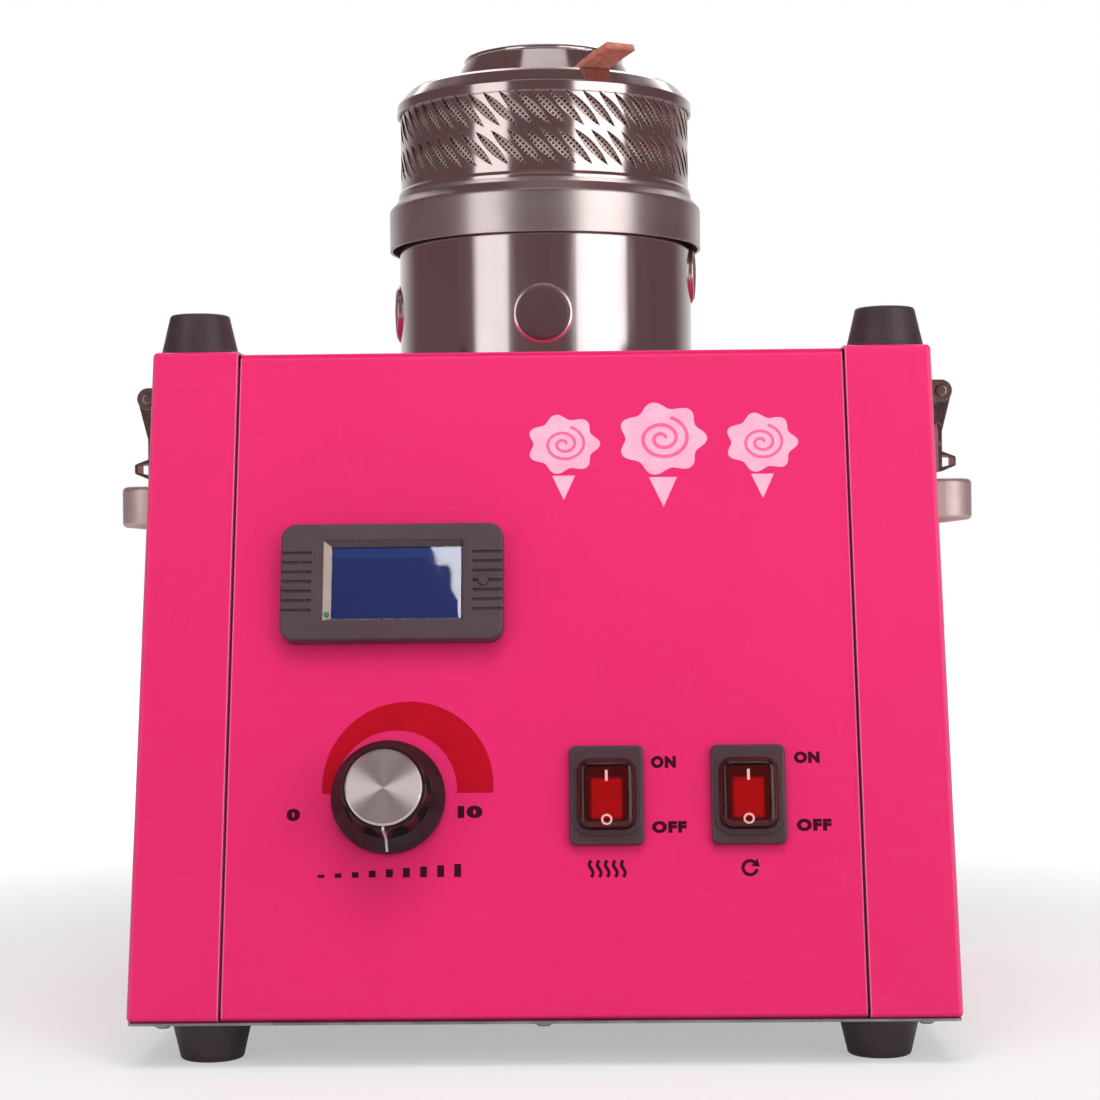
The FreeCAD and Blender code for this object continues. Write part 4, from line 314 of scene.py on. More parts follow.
finishes = {
    "pink_paint": {  # glossy baked enamel on sheet steel
        # its edge wear in the pale third tone is partly wear and partly a painted highlight along rounded
        # edges
        "tones": ((247, 38, 116), (240, 32, 108), (255, 150, 186)), "roughness": (0.38, 0.46), "drift": 0.7,
        "driftScale": 9.0, "wear": 0.75, "edge": 0.9, "rubs": 0.02, "patches": 6.0, "grainScale": 900.0,
        "grain": 0.5, "bump": 0.12, "depth": 0.05,
        "shader": {"Specular IOR Level": 0.35, "Coat Weight": 0.3, "Coat Roughness": 0.1},
    },
    "zinc_sheet": {
        "tones": ((172, 174, 178), (140, 143, 150), (200, 200, 202)), "roughness": (0.35, 0.55),
        "drift": 1.0, "driftScale": 90.0, "rubs": 0.3, "drawn": (40, 1500, 40), "marks": 0.3,
        "shader": metal(0.9),
    },
    "dark_rubber": {
        "tones": ((72, 56, 60), (58, 44, 48), (130, 110, 112)), "roughness": (0.38, 0.52), "drift": 0.8,
        "driftScale": 60.0, "wear": 0.5, "edge": 0.7, "rubs": 0.08, "grainScale": 2300.0, "grain": 0.8,
        "bump": 0.4, "wornRough": 0.05,
    },
    "plated_screw": {
        "tones": ((190, 190, 188), (150, 150, 150), (225, 225, 222)), "roughness": (0.22, 0.4),
        "driftScale": 300.0, "rubs": 0.4, "rubScale": 300.0, "edge": 0.15, "shader": metal(1.0),
    },
    "satin_aluminium": {
        "tones": ((220, 198, 196), (206, 182, 182), (240, 228, 226)), "roughness": (0.46, 0.58),
        "driftScale": 40.0, "wear": 0.6, "rubs": 0.08, "drawn": (60, 60, 2400), "marks": 0.4, "bump": 0.12,
        "shader": metal(0.85),
    },
    "latch_nickel": {
        "tones": ((168, 146, 140), (110, 92, 90), (232, 222, 216)), "roughness": (0.2, 0.38),
        "driftScale": 120.0, "wear": 0.8, "rubs": 0.3, "rubScale": 160.0, "shader": metal(1.0),
    },
    "latch_steel": {
        "tones": ((140, 120, 114), (92, 76, 74), (222, 208, 200)), "roughness": (0.22, 0.42),
        "driftScale": 150.0, "wear": 0.7, "edge": 0.35, "rubs": 0.3, "rubScale": 160.0,
        "drawn": (900, 60, 60), "marks": 0.3, "shader": metal(1.0),
    },
    "meter_plastic": {
        "tones": ((86, 68, 74), (76, 58, 64), (134, 114, 118)), "roughness": (0.42, 0.55),
        "driftScale": 50.0, "wear": 0.4, "edge": 0.3, "rubs": 0.05, "grainScale": 2200.0, "grain": 1.0,
        "bump": 0.35, "depth": 0.08,
    },
    "circuit_board": {
        "tones": ((34, 92, 58), (28, 78, 48), (180, 150, 90)), "roughness": (0.3, 0.45),
        "driftScale": 200.0, "drift": 1.0, "shader": {"Coat Weight": 0.4, "Coat Roughness": 0.2},
    },
    "knob_plastic": {
        "tones": ((44, 34, 36), (34, 26, 28), (96, 84, 86)), "roughness": (0.14, 0.24), "driftScale": 80.0,
        "wear": 0.25, "edge": 0.3, "rubs": 0.1, "rubScale": 160.0, "grainScale": 1600.0, "grain": 0.3,
        "bump": 0.08, "shader": {"Specular IOR Level": 0.3, "Coat Weight": 0.2, "Coat Roughness": 0.08},
    },
    "spun_aluminium": {
        "tones": ((248, 244, 242), (240, 234, 234), (250, 250, 250)), "roughness": (0.31, 0.34),
        "driftScale": 60.0, "edge": 0.05, "wear": 0.0, "rubs": 0.0, "tangent": "Y", "turned": capTurning,
        "marks": 0.6, "bump": 0.03, "depth": 0.01, "grain": 0.0, "shader": metal(1.0, 1.0, 0.25),
    },
    "switch_plastic": {
        "tones": ((80, 58, 62), (68, 46, 50), (140, 118, 116)), "roughness": (0.34, 0.5),
        "driftScale": 60.0, "wear": 0.4, "edge": 0.5, "rubs": 0.06, "grainScale": 2400.0, "grain": 0.7,
    },
    "machined_steel": {
        "tones": ((186, 184, 182), (160, 158, 158), (220, 220, 218)), "roughness": (0.2, 0.34),
        "driftScale": 80.0, "edge": 0.2, "rubs": 0.15, "turned": headTurning, "marks": 0.6,
        "shader": metal(1.0),
    },
    "polished_steel": {
        "tones": ((206, 198, 198), (192, 182, 184), (235, 232, 230)), "roughness": (0.12, 0.22),
        "driftScale": 18.0, "edge": 0.3, "rubs": 0.01, "tangent": "Z", "drawn": (1500, 1500, 16),
        "marks": 0.5, "bump": 0.1, "depth": 0.03, "grainScale": 500.0, "shader": metal(1.0, 0.35),
    },
    "brushed_steel": {
        "tones": ((204, 194, 192), (184, 172, 172), (240, 238, 236)), "roughness": (0.32, 0.42),
        "driftScale": 30.0, "edge": 0.25, "wear": 0.4, "rubs": 0.0, "tangent": "Z", "turned": headTurning,
        "marks": 1.0, "bump": 0.08, "depth": 0.04, "shader": metal(1.0, 0.5, 0.25),
    },
    "band_steel": {
        "tones": ((206, 196, 194), (188, 176, 176), (240, 238, 236)), "roughness": (0.13, 0.22),
        "driftScale": 24.0, "edge": 0.25, "wear": 0.4, "rubs": 0.0, "tangent": "Z", "turned": headTurning,
        "marks": 0.8, "bump": 0.06, "depth": 0.03, "shader": metal(1.0, 0.3, 0.25),
    },
    "port_trim": {
        "tones": ((206, 186, 182), (190, 168, 166), (236, 226, 222)), "roughness": (0.2, 0.3),
        "driftScale": 80.0, "edge": 0.3, "wear": 0.5, "rubs": 0.05, "shader": metal(0.9),
    },
    "cast_aluminium": {
        "tones": ((150, 150, 152), (128, 128, 132), (200, 200, 202)), "roughness": (0.42, 0.6),
        "driftScale": 90.0, "grainScale": 1400.0, "grain": 1.0, "bump": 0.4, "shader": metal(0.9),
    },
    "motor_paint": {
        "tones": ((52, 56, 60), (40, 44, 48), (150, 150, 150)), "roughness": (0.4, 0.55),
        "driftScale": 40.0, "grainScale": 1100.0, "grain": 0.7,
    },
    "core_steel": {
        "tones": ((110, 106, 104), (84, 78, 76), (170, 166, 162)), "roughness": (0.35, 0.55),
        "drawn": (60, 60, 2600), "marks": 1.0, "shader": metal(0.9),
    },
    "fan_plastic": {
        "tones": ((44, 44, 46), (36, 36, 38), (90, 90, 92)), "roughness": (0.38, 0.5), "grainScale": 1500.0,
        "grain": 0.5,
    },
    "contact_brass": {
        "tones": ((198, 160, 92), (166, 124, 66), (232, 204, 140)), "roughness": (0.22, 0.38),
        "driftScale": 140.0, "wear": 0.4, "rubs": 0.3, "shader": metal(1.0),
    },
    "carbon": {
        "tones": ((44, 42, 42), (30, 28, 28), (96, 92, 90)), "roughness": (0.4, 0.6), "driftScale": 300.0,
        "grainScale": 3000.0, "grain": 0.8,
    },
    "spring_steel": {
        "tones": ((168, 166, 164), (130, 126, 124), (214, 212, 208)), "roughness": (0.22, 0.34),
        "driftScale": 400.0, "edge": 0.05, "shader": metal(1.0),
    },
    "heater_sheath": {
        "tones": ((92, 74, 62), (60, 50, 52), (140, 110, 84)), "roughness": (0.4, 0.6), "driftScale": 90.0,
        "drift": 1.0, "grainScale": 1800.0, "grain": 0.6, "shader": metal(0.8),
    },
    "inlet_plastic": {
        "tones": ((34, 32, 34), (26, 24, 26), (84, 80, 82)), "roughness": (0.4, 0.55), "grainScale": 2200.0,
        "grain": 0.7,
    },
    "tan_leather": {
        "tones": ((216, 132, 112), (192, 112, 94), (234, 146, 108)), "roughness": (0.5, 0.7),
        "driftScale": 260.0, "drift": 1.0, "wear": 0.9, "edge": 0.6, "patches": 700.0, "rubs": 0.25,
        "rubScale": 240.0, "grainScale": 1700.0, "grain": 1.2, "grainSharpness": 1.0, "bump": 0.5,
        "depth": 0.15, "shader": {"Sheen Weight": 0.15, "Sheen Roughness": 0.5},
    },
    "display_glass": {
        "tones": ((250, 250, 252), (240, 244, 250), (250, 250, 250)), "roughness": (0.015, 0.04),
        "wear": 0.0, "rubs": 0.05, "grainScale": 30.0, "grain": 1.0, "depth": 0.6, "edge": 0.05,
        "wornRough": 0.05, "shader": {"Transmission Weight": 1.0, "IOR": 1.49},
    },
    "boot_rubber": {
        "tones": ((234, 168, 164), (222, 148, 146), (236, 176, 172)), "roughness": (0.05, 0.1),
        "driftScale": 120.0, "wear": 0.2, "rubs": 0.02, "grainScale": 260.0, "grain": 0.5, "bump": 0.1,
        "shader": {"Transmission Weight": 1.0, "IOR": 1.22, "Coat Weight": 0.5, "Coat Roughness": 0.06},
    },
    "insert_plastic": {
        "tones": ((84, 64, 68), (74, 56, 60), (112, 92, 94)), "roughness": (0.36, 0.48), "driftScale": 90.0,
        "edge": 0.3, "rubs": 0.04, "grainScale": 2400.0, "grain": 0.8, "depth": 0.06,
    },
    "woven_steel": {
        "tones": ((236, 214, 206), (206, 184, 178), (240, 228, 222)), "roughness": (0.35, 0.5),
        "driftScale": 60.0, "edge": 0.1, "shader": metal(0.35),
    },
}


def recolour(tree, shader, share, second):  # lays a second colour over the finish's own
    plain = shader.inputs["Base Color"].links[0].from_socket
    tree.links.new(blendColours(tree, share, plain, second), shader.inputs["Base Color"])


def addGlow(tree, shader, share, low, high, strength):
    tree.links.new(blendColours(tree, share, low, high), shader.inputs["Emission Color"])
    shader.inputs["Emission Strength"].default_value = strength


# distances for the painted highlight lines and the painted shade in the seams
paintedLineSpans = {  # distances in millimetres
    "strip": 35.3, "seam": 0.3, "seamShade": 0.42, "near": 0.6, "far": 1.25, "corner": 1.3, "bend": 0.26,
    "deep": 0.9, "shallow": 0.5,
}
paintedLightAndShade = {"amount": 0.6, "facing": (0.3, 0.7), "seamShade": srgb(84, 14, 44)}


def makePinkPaint():  # enamel with painted pale highlight lines at the seams and along the outer bends, and painted shade in the seam gaps
    look = finishes["pink_paint"]
    material, tree, shader, place = makeFinish("pink_paint", look)
    line = {label: distance * mm for label, distance in paintedLineSpans.items()}
    outer = reach("right_cover", right)[1]
    sideways = mathNode(tree, "ABSOLUTE", vectorNode(tree, "DOT_PRODUCT", place, right))
    fromSeam = awayFrom(tree, sideways, outer - line["strip"] - line["seam"])
    # painted highlight: pale lines on both sides of each cover and panel seam
    seamHighlight = product(
        tree,
        remap(tree, fromSeam, line["seamShade"], line["near"]),
        remap(tree, fromSeam, line["near"], line["far"], 1.0, 0.0),
    )
    # painted highlight: a pale line along each cover's outer bend
    bendHighlight = remap(tree, sideways, outer - line["corner"], outer - line["bend"])
    facing = addNode(tree, "NewGeometry").outputs["Normal"]
    forward = remap(tree, vectorNode(tree, "DOT_PRODUCT", facing, panelOut), *paintedLightAndShade["facing"])
    outwards = vectorNode(tree, "DOT_PRODUCT", place, panelOut)
    outside = remap(tree, outwards, panelFace - line["deep"], panelFace - line["shallow"])
    lines = product(tree, mathNode(tree, "MAXIMUM", seamHighlight, bendHighlight), forward)
    share = product(tree, product(tree, lines, outside), paintedLightAndShade["amount"])
    recolour(tree, shader, share, srgb(*look["tones"][2]))
    # painted shade: dark maroon in the seam gaps
    paintedSeamShade = product(tree, remap(tree, fromSeam, line["seamShade"], line["near"], 1.0, 0.0), forward)
    recolour(tree, shader, paintedSeamShade, paintedLightAndShade["seamShade"])
    return material


# gap is the painted shade of the inside seen through the openings between the wires
meshWeave = {"radius": 63.6, "pitch": 1.3, "gap": srgb(78, 58, 58), "bump": 0.6, "relief": 0.2}


def makeWovenSteel():
    material, tree, shader, place = makeFinish("woven_steel", finishes["woven_steel"])
    radius, pitch = meshWeave["radius"] * mm, meshWeave["pitch"] * mm
    weave = addGroup(tree, wovenWires, place, Centre=headAxis, Radius=radius, Pitch=pitch)
    # painted shade: the openings between the wires take the dark gap tone
    recolour(tree, shader, weave["Open"], meshWeave["gap"])
    relief = addNode(tree, "Bump", {
        "Strength": meshWeave["bump"], "Distance": meshWeave["relief"] * mm, "Height": weave["Height"],
        "Normal": shader.inputs["Normal"].links[0].from_socket,
    })
    tree.links.new(relief.outputs[0], shader.inputs["Normal"])
    return material


rockerRed = {
    "tones": ((100, 16, 22), (84, 12, 18), (130, 32, 36)), "roughness": (0.16, 0.26), "driftScale": 200.0,
    "wear": 0.2, "rubs": 0.05, "shader": {"Coat Weight": 0.4, "Coat Roughness": 0.1},
}
litBlock = {"wide": 11.8, "tall": 15.2, "fuzz": 1.8, "rise": 1.5, "strength": 0.62, "glow": srgb(214, 14, 24)}


def makeLitRocker(name, across):  # dark red rocker with the lamp's soft bright block inside
    material, tree, shader, place = makeFinish(name, rockerRed)
    side = awayFrom(tree, vectorNode(tree, "DOT_PRODUCT", place, right), across)
    middle = switchAlong - litBlock["rise"] * mm
    rise = awayFrom(tree, vectorNode(tree, "DOT_PRODUCT", place, panelUp), middle)
    fuzz, halfWide, halfTall = (litBlock[label] * mm / 2 for label in ("fuzz", "wide", "tall"))
    inside = product(
        tree,
        remap(tree, side, halfWide - fuzz, halfWide + fuzz, 1.0, 0.0),
        remap(tree, rise, halfTall - fuzz, halfTall + fuzz, 1.0, 0.0),
    )
    addGlow(tree, shader, inside, srgb(0, 0, 0), litBlock["glow"], litBlock["strength"])
    return material


ownMaker = {"pink_paint": makePinkPaint, "woven_steel": makeWovenSteel}
materials = {}
for name, look in finishes.items():
    materials[name] = ownMaker[name]() if name in ownMaker else makeFinish(name, look)[0]
materials["heat_rocker_red"] = makeLitRocker("heat_rocker_red", heatAcross)
materials["motor_rocker_red"] = makeLitRocker("motor_rocker_red", motorAcross)
print("finishes made:", len(materials))

ownFinish = {
    "mesh_band": "band_steel", "head_lid": "band_steel", "port_caps": "port_trim",
    "heat_rocker": "heat_rocker_red", "motor_rocker": "motor_rocker_red",
}
for name, node in nodes.items():
    for slot in node.material_slots:
        slot.material = materials[ownFinish.get(name, slotOf[name])]
print("node finishes assigned")


# piece building

def addObject(name, data):
    holder = bpy.data.objects.new(name, data)
    bpy.context.scene.collection.objects.link(holder)
    return holder


def newPiece(name, mesh, material, body, smooth=False):
    piece = addObject(name, mesh)
    mesh.materials.append(material)
    for face in mesh.polygons:
        face.use_smooth = smooth
    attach(piece, body)
    return piece


def meshFrom(build, name):
    mesh = bpy.data.meshes.new(name)
    build.normal_update()
    build.to_mesh(mesh)
    build.free()
    return mesh


def addBuilt(build, name, material, body, smooth=False):  # a piece with every face turned outwards
    bmesh.ops.recalc_face_normals(build, faces=build.faces)
    return newPiece(name, meshFrom(build, name), material, body, smooth)


def joinLoops(build, loops, capped=()):  # faces between neighbouring loops, where one point makes a tip
    for first, second in zip(loops, loops[1:]):
        for step in range(max(len(first), len(second))):
            steps = ((first, step), (first, step + 1), (second, step + 1), (second, step))
            corners = [loop[index % len(loop)] for loop, index in steps]
            build.faces.new(list(dict.fromkeys(corners)))
    for end in capped:
        build.faces.new(loops[end])


def flatPrint(name, outlines, thick, material, body, place):
    # closed outlines in the plane of place, raised by thick
    build = bmesh.new()
    flat = [build.faces.new([build.verts.new((x, y, 0)) for x, y in outline]) for outline in outlines]
    raised = bmesh.ops.extrude_face_region(build, geom=flat)
    for corner in [v for v in raised["geom"] if isinstance(v, bmesh.types.BMVert)]:
        corner.co.z += thick
    build.transform(place)
    return addBuilt(build, name, material, body)


def panelPlace(across, along, out=0.0):  # print plane: X across, Y up the slope, Z out
    turn = Matrix((right, panelUp, panelOut)).transposed().to_4x4()
    return Matrix.Translation(onPanel(across, along, out)) @ turn


def arcPoints(centre, radius, start, end, steps):
    angles = [start + (end - start) * step / steps for step in range(steps + 1)]
    return [(centre[0] + radius * math.cos(a), centre[1] + radius * math.sin(a)) for a in angles]


def circlePoints(radius, steps):
    return arcPoints((0, 0), radius, 0, math.tau, steps)[:-1]


def rectangle(left, low, far, high):
    return [(left, low), (far, low), (far, high), (left, high)]


def spanOf(points):  # lowest and highest corner of the box round some points
    return [Vector([pick(point[axis] for point in points) for axis in range(3)]) for pick in (min, max)]


def surfaceOf(node):  # a node's faces, ready for ray casts
    mesh = nodes[node].data
    return BVHTree.FromPolygons([v.co for v in mesh.vertices], [f.vertices for f in mesh.polygons])


castFrom = 0.05  # metres in front of a surface where its ray casts start


# inks and prints on the front panel

def makeInk(name, first, second, rough, glow=0.0):
    look = {
        "tones": (first, second, second), "roughness": rough, "driftScale": 120.0, "drift": 0.8, "wear": 0.1,
        "edge": 0.05, "rubs": 0.08, "rubScale": 90.0, "grainScale": 1300.0, "grain": 0.4, "bump": 0.15,
        "depth": 0.03,
        "shader": {"Emission Color": srgb(*first), "Emission Strength": glow, "Specular IOR Level": 0.15},
    }
    return makeFinish(name, look)[0]


crimsonInk = makeInk("crimson_ink", (200, 0, 34), (190, 0, 30), (0.5, 0.6))
maroonInk = makeInk("maroon_ink", (66, 2, 32), (58, 2, 28), (0.45, 0.56))
rosePinkInk = makeInk("rose_pink_ink", (255, 118, 170), (255, 104, 160), (0.4, 0.5))
palePinkInk = makeInk("pale_pink_ink", (255, 196, 220), (255, 176, 208), (0.4, 0.5))
# painted light: this ink glows so the rocker marks read pale under the tinted boot, which lets no lamp light
# reach them
paleGlowInk = makeInk("pale_ink_painted_glow", (218, 236, 244), (210, 228, 236), (0.3, 0.45), 1.3)
whiteInk = makeInk("white_ink", (238, 236, 236), (226, 222, 224), (0.3, 0.4))

inkLayer = {"thick": 0.06, "lift": 0.01}


def printAt(name, outlines, across, along, material=maroonInk, layer=0):
    # outlines in millimetres about a panel point, printed over the given number of layers
    scaled = [[(x * mm, y * mm) for x, y in outline] for outline in outlines]
    lift = inkLayer["lift"] + layer * inkLayer["thick"]
    place = panelPlace(across, along, lift * mm)
    flatPrint(name, scaled, inkLayer["thick"] * mm, material, "cabinet", place)


crescent = {
    "outer": 33.4, "outerAt": (7.43, 4.7), "inner": 23.9, "innerAt": (2.83, 2.7), "foot": 1.7, "steps": 72,
}


def addCrescent():
    # outer and inner arcs both stop at the height of the crescent's flat foot
    outline = []
    for side, way in (("outer", 1), ("inner", -1)):
        centre, radius = crescent[side + "At"], crescent[side]
        dip = math.asin((crescent["foot"] - centre[1]) / radius)
        start, end = (dip, math.pi - dip)[::way]
        outline += arcPoints(centre, radius, start, end, crescent["steps"])
    printAt("heat_crescent", [outline], knobAcross, knobAlong, crimsonInk)


lettering = {"bold": 0.07, "spacing": 1.2, "digitSpacing": 1.0, "extrude": 0.01}


def addWords(name, words, left, foot, width, height):
    # words stretched to the given width and height, in millimetres from the knob's axis
    curve = bpy.data.curves.new(name, "FONT")
    curve.body = words
    curve.offset = lettering["bold"]
    curve.space_character = lettering["digitSpacing" if words.isdigit() else "spacing"]
    curve.extrude = lettering["extrude"]
    text = addObject(name, curve)
    bpy.context.view_layer.update()
    mesh = bpy.data.meshes.new_from_object(text.evaluated_get(bpy.context.evaluated_depsgraph_get()))
    bpy.data.objects.remove(text)
    low, high = spanOf([vertex.co for vertex in mesh.vertices])
    scale = [size * mm / span for size, span in zip((width, height, inkLayer["thick"]), high - low)]
    fit = Matrix.Diagonal((*scale, 1)) @ Matrix.Translation(-low)
    mesh.transform(panelPlace(knobAcross + left * mm, knobAlong + foot * mm, inkLayer["lift"] * mm) @ fit)
    mesh.materials.clear()
    newPiece(name, mesh, maroonInk, "cabinet")


switchWords = [
    ("heat_on", "ON", 102.3, 10.8, 9.7, 4.8),
    ("heat_off", "OFF", 102.3, -14.6, 13.4, 4.6),
    ("motor_on", "ON", 158.0, 12.3, 10.0, 4.6),
    ("motor_off", "OFF", 158.3, -14.3, 13.4, 4.8),
    ("dial_low", "0", -39.6, -8.8, 5.2, 4.8),
    ("dial_high", "10", 27.0, -8.2, 9.6, 4.8),
]
addCrescent()
for row in switchWords:
    addWords(*row)


# generic pictograms beside the controls

levelBars = {"count": 9, "wide": 2.6, "pitch": 6.6, "low": 1.2, "high": 5.0, "left": -27.0, "foot": -31.0}


def addLevelBars():
    bars = []
    for index in range(levelBars["count"]):
        left = levelBars["left"] + index * levelBars["pitch"]
        share = index / (levelBars["count"] - 1)
        top = levelBars["low"] + (levelBars["high"] - levelBars["low"]) * share
        bars.append(rectangle(left, 0, left + levelBars["wide"], top))
    printAt("heat_level_bars", bars, knobAcross, knobAlong + levelBars["foot"] * mm)


def ribbon(points, width):  # a line of even width as a closed outline
    left, rightSide = [], []
    for index, (x, y) in enumerate(points):
        before, after = points[max(index - 1, 0)], points[min(index + 1, len(points) - 1)]
        along = Vector((after[0] - before[0], after[1] - before[1])).normalized()
        left.append((x - along.y * width / 2, y + along.x * width / 2))
        rightSide.append((x + along.y * width / 2, y - along.x * width / 2))
    return left + rightSide[::-1]


heatWaves = {"tall": 6.4, "sway": 0.7, "wide": 1.25, "pitch": 3.1, "steps": 24, "rows": (-2, -1, 0, 1, 2)}
spinMark = {"radius": 2.7, "stroke": 1.25, "gap": 0.9, "end": 0.2, "steps": 40, "arrow": 1.9, "point": 1.4}
underSwitches = switchAlong - 28.3 * mm


def addHeatWaves():
    waves = []
    for row in heatWaves["rows"]:
        line = []
        for step in range(heatWaves["steps"] + 1):
            share = step / heatWaves["steps"]
            sway = heatWaves["sway"] * math.sin(math.tau * share)
            line.append((row * heatWaves["pitch"] + sway, (share - 0.5) * heatWaves["tall"]))
        waves.append(ribbon(line, heatWaves["wide"]))
    printAt("heat_waves", waves, heatAcross, underSwitches)


def addSpinMark():
    radius, gap, arrow = spinMark["radius"], spinMark["gap"], spinMark["arrow"]
    line = arcPoints((0, 0), radius, gap, math.tau - spinMark["end"], spinMark["steps"])
    out = Vector((math.cos(gap), math.sin(gap)))
    point = out * radius + Vector((out.y, -out.x)) * arrow * spinMark["point"]
    head = [out * (radius + arrow), out * (radius - arrow), point]
    printAt("spin_ring", [ribbon(line, spinMark["stroke"])], motorAcross, underSwitches)
    printAt("spin_arrow", [head], motorAcross, underSwitches)


addLevelBars()
addHeatWaves()
addSpinMark()

floss = {  # puffs of floss on cones: each one's place across and up the panel, and its size
    "puffs": ((9.0, 229.0, 13.5), (49.0, 231.0, 16.5), (89.0, 229.0, 13.5)), "lobes": 7, "lobe": 0.1,
    "flat": 0.86, "steps": 112, "coneTop": 0.99, "coneHalf": 0.34, "coneLong": 1.75,
    "turns": 2.2, "swirl": 0.66, "swirlStart": 0.1, "swirlWide": 0.09,
}


def addFlossPrint():
    foot = reach("front_panel", panelUp)[0]
    for index, (across, along, size) in enumerate(floss["puffs"]):
        puff, swirl = [], []
        for step in range(floss["steps"] + 1):
            share = step / floss["steps"]
            lobed = 1 + floss["lobe"] * math.cos(floss["lobes"] * math.tau * share)
            wound = floss["swirl"] * (floss["swirlStart"] + (1 - floss["swirlStart"]) * share)
            for line, far, turns in ((puff, lobed, 1), (swirl, wound, floss["turns"])):
                angle = math.tau * turns * share
                line.append((size * far * math.cos(angle), size * far * math.sin(angle) * floss["flat"]))
        top, half = -size * floss["coneTop"], size * floss["coneHalf"]
        cone = [(-half, top), (0, -size * floss["coneLong"]), (half, top)]
        name, place = "floss_" + str(index + 1), (across * mm, foot + along * mm)
        printAt(name + "_puff", [puff[:-1]], *place, palePinkInk)
        printAt(name + "_cone", [cone], *place, palePinkInk)
        printAt(name + "_swirl", [ribbon(swirl, size * floss["swirlWide"])], *place, rosePinkInk, 1)


addFlossPrint()
print("panel printing made")


# marks on the rockers

rockerMark = {
    "thick": 0.08, "lift": 0.01, "barWide": 1.05, "barTall": 4.2, "ring": 2.15, "stroke": 0.75, "steps": 48,
    "on": 7.2, "off": -9.6,
}


def rockerPlace(node, across, along):
    # the rocker's surface under a point of the panel, and the way it faces there
    start = onPanel(across, switchAlong + along * mm, castFrom)
    spot, normal = surfaceOf(node).ray_cast(start, -panelOut)[:2]
    sideways = (right - normal * right.dot(normal)).normalized()
    turn = Matrix((sideways, normal.cross(sideways), normal)).transposed().to_4x4()
    return Matrix.Translation(spot + normal * rockerMark["lift"] * mm) @ turn


# the marks use the glowing ink, painted light under the boot
def addRockerMarks(node, across, body):
    wide, tall = rockerMark["barWide"] * mm / 2, rockerMark["barTall"] * mm / 2
    thick = rockerMark["thick"] * mm
    place = rockerPlace(node, across, rockerMark["on"])
    flatPrint(body + "_bar", [rectangle(-wide, -tall, wide, tall)], thick, paleGlowInk, body, place)
    build = bmesh.new()
    outer = rockerMark["ring"] * mm
    inner = outer - rockerMark["stroke"] * mm
    loops = []
    for radius, height in ((outer, 0), (outer, thick), (inner, thick), (inner, 0)):
        loops.append([build.verts.new((x, y, height)) for x, y in circlePoints(radius, rockerMark["steps"])])
    joinLoops(build, loops + loops[:1])
    build.transform(rockerPlace(node, across, rockerMark["off"]))
    addBuilt(build, body + "_ring", paleGlowInk, body)


addRockerMarks("heat_rocker", heatAcross, "heat_switch")
addRockerMarks("motor_rocker", motorAcross, "motor_switch")
print("rocker marks made")


# leather tabs on the lid

leather = {
    "start": 47.0, "lying": 9.5, "width": 13.6, "thick": 3.2, "out": 18.0, "rise": 7.4, "sway": 7.4,
    "twist": 8.0, "risePower": 0.8, "leanShare": 0.25, "bearing": -68.0, "steps": 24, "rounds": 8,
    "corner": 0.5, "flatShares": (0, 0.04, 0.3, 0.6, 0.9), "weld": 0.0001,
}


def tabSection(share):  # middle point and axes of the strap at a share of its free length
    free = Vector((leather["start"] + leather["lying"] + leather["out"] * share, leather["sway"] * share, 0))
    free.z = leather["thick"] / 2 + leather["rise"] * share ** leather["risePower"]
    along = Vector((leather["out"], 0, leather["rise"] * min(1, share / leather["leanShare"])))
    lean = right.rotation_difference(along.normalized()).to_matrix()
    turn = Matrix.Rotation(math.radians(leather["twist"] * share), 3, "Z") @ lean
    return free, turn


def strapCorners():  # a rounded rectangle across the strap
    half = Vector((leather["width"] / 2, leather["thick"] / 2))
    corner = leather["corner"]
    points = []
    for index, (side, top) in enumerate(((1, 1), (-1, 1), (-1, -1), (1, -1))):
        centre = (side * (half.x - corner), top * (half.y - corner))
        start = math.pi / 2 * index
        points += arcPoints(centre, corner, start, start + math.pi / 2, leather["rounds"] - 1)
    return points


def addLeatherTab(index, bearing):
    build = bmesh.new()
    stations = []
    for share in leather["flatShares"]:
        middle = Vector((leather["start"] + leather["lying"] * share, 0, leather["thick"] / 2))
        stations.append((middle, Matrix.Identity(3)))
    stations += [tabSection(step / leather["steps"]) for step in range(leather["steps"] + 1)]
    loops = []
    for middle, turn in stations:
        loops.append([build.verts.new(middle + turn @ Vector((0, y, z))) for y, z in strapCorners()])
    joinLoops(build, loops, (0, -1))
    bmesh.ops.remove_doubles(build, verts=build.verts, dist=leather["weld"])
    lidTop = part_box("tab_rivets")[0].z
    place = Matrix.Translation(headAxis + upwards * lidTop) @ Matrix.Rotation(math.radians(bearing), 4, "Z")
    build.transform(place @ Matrix.Scale(mm, 4))
    name = "leather_tab_" + str(index)
    piece = addBuilt(build, name, materials["tan_leather"], "head", True)
    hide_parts("leather_tabs")


addLeatherTab(1, leather["bearing"])
addLeatherTab(2, leather["bearing"] + 180)
print("leather tabs made")


# knob pointer

pointer = {"wide": 0.9, "from": 14.9, "to": 21.6, "thick": 0.12, "sunk": 0.1, "steps": 14}


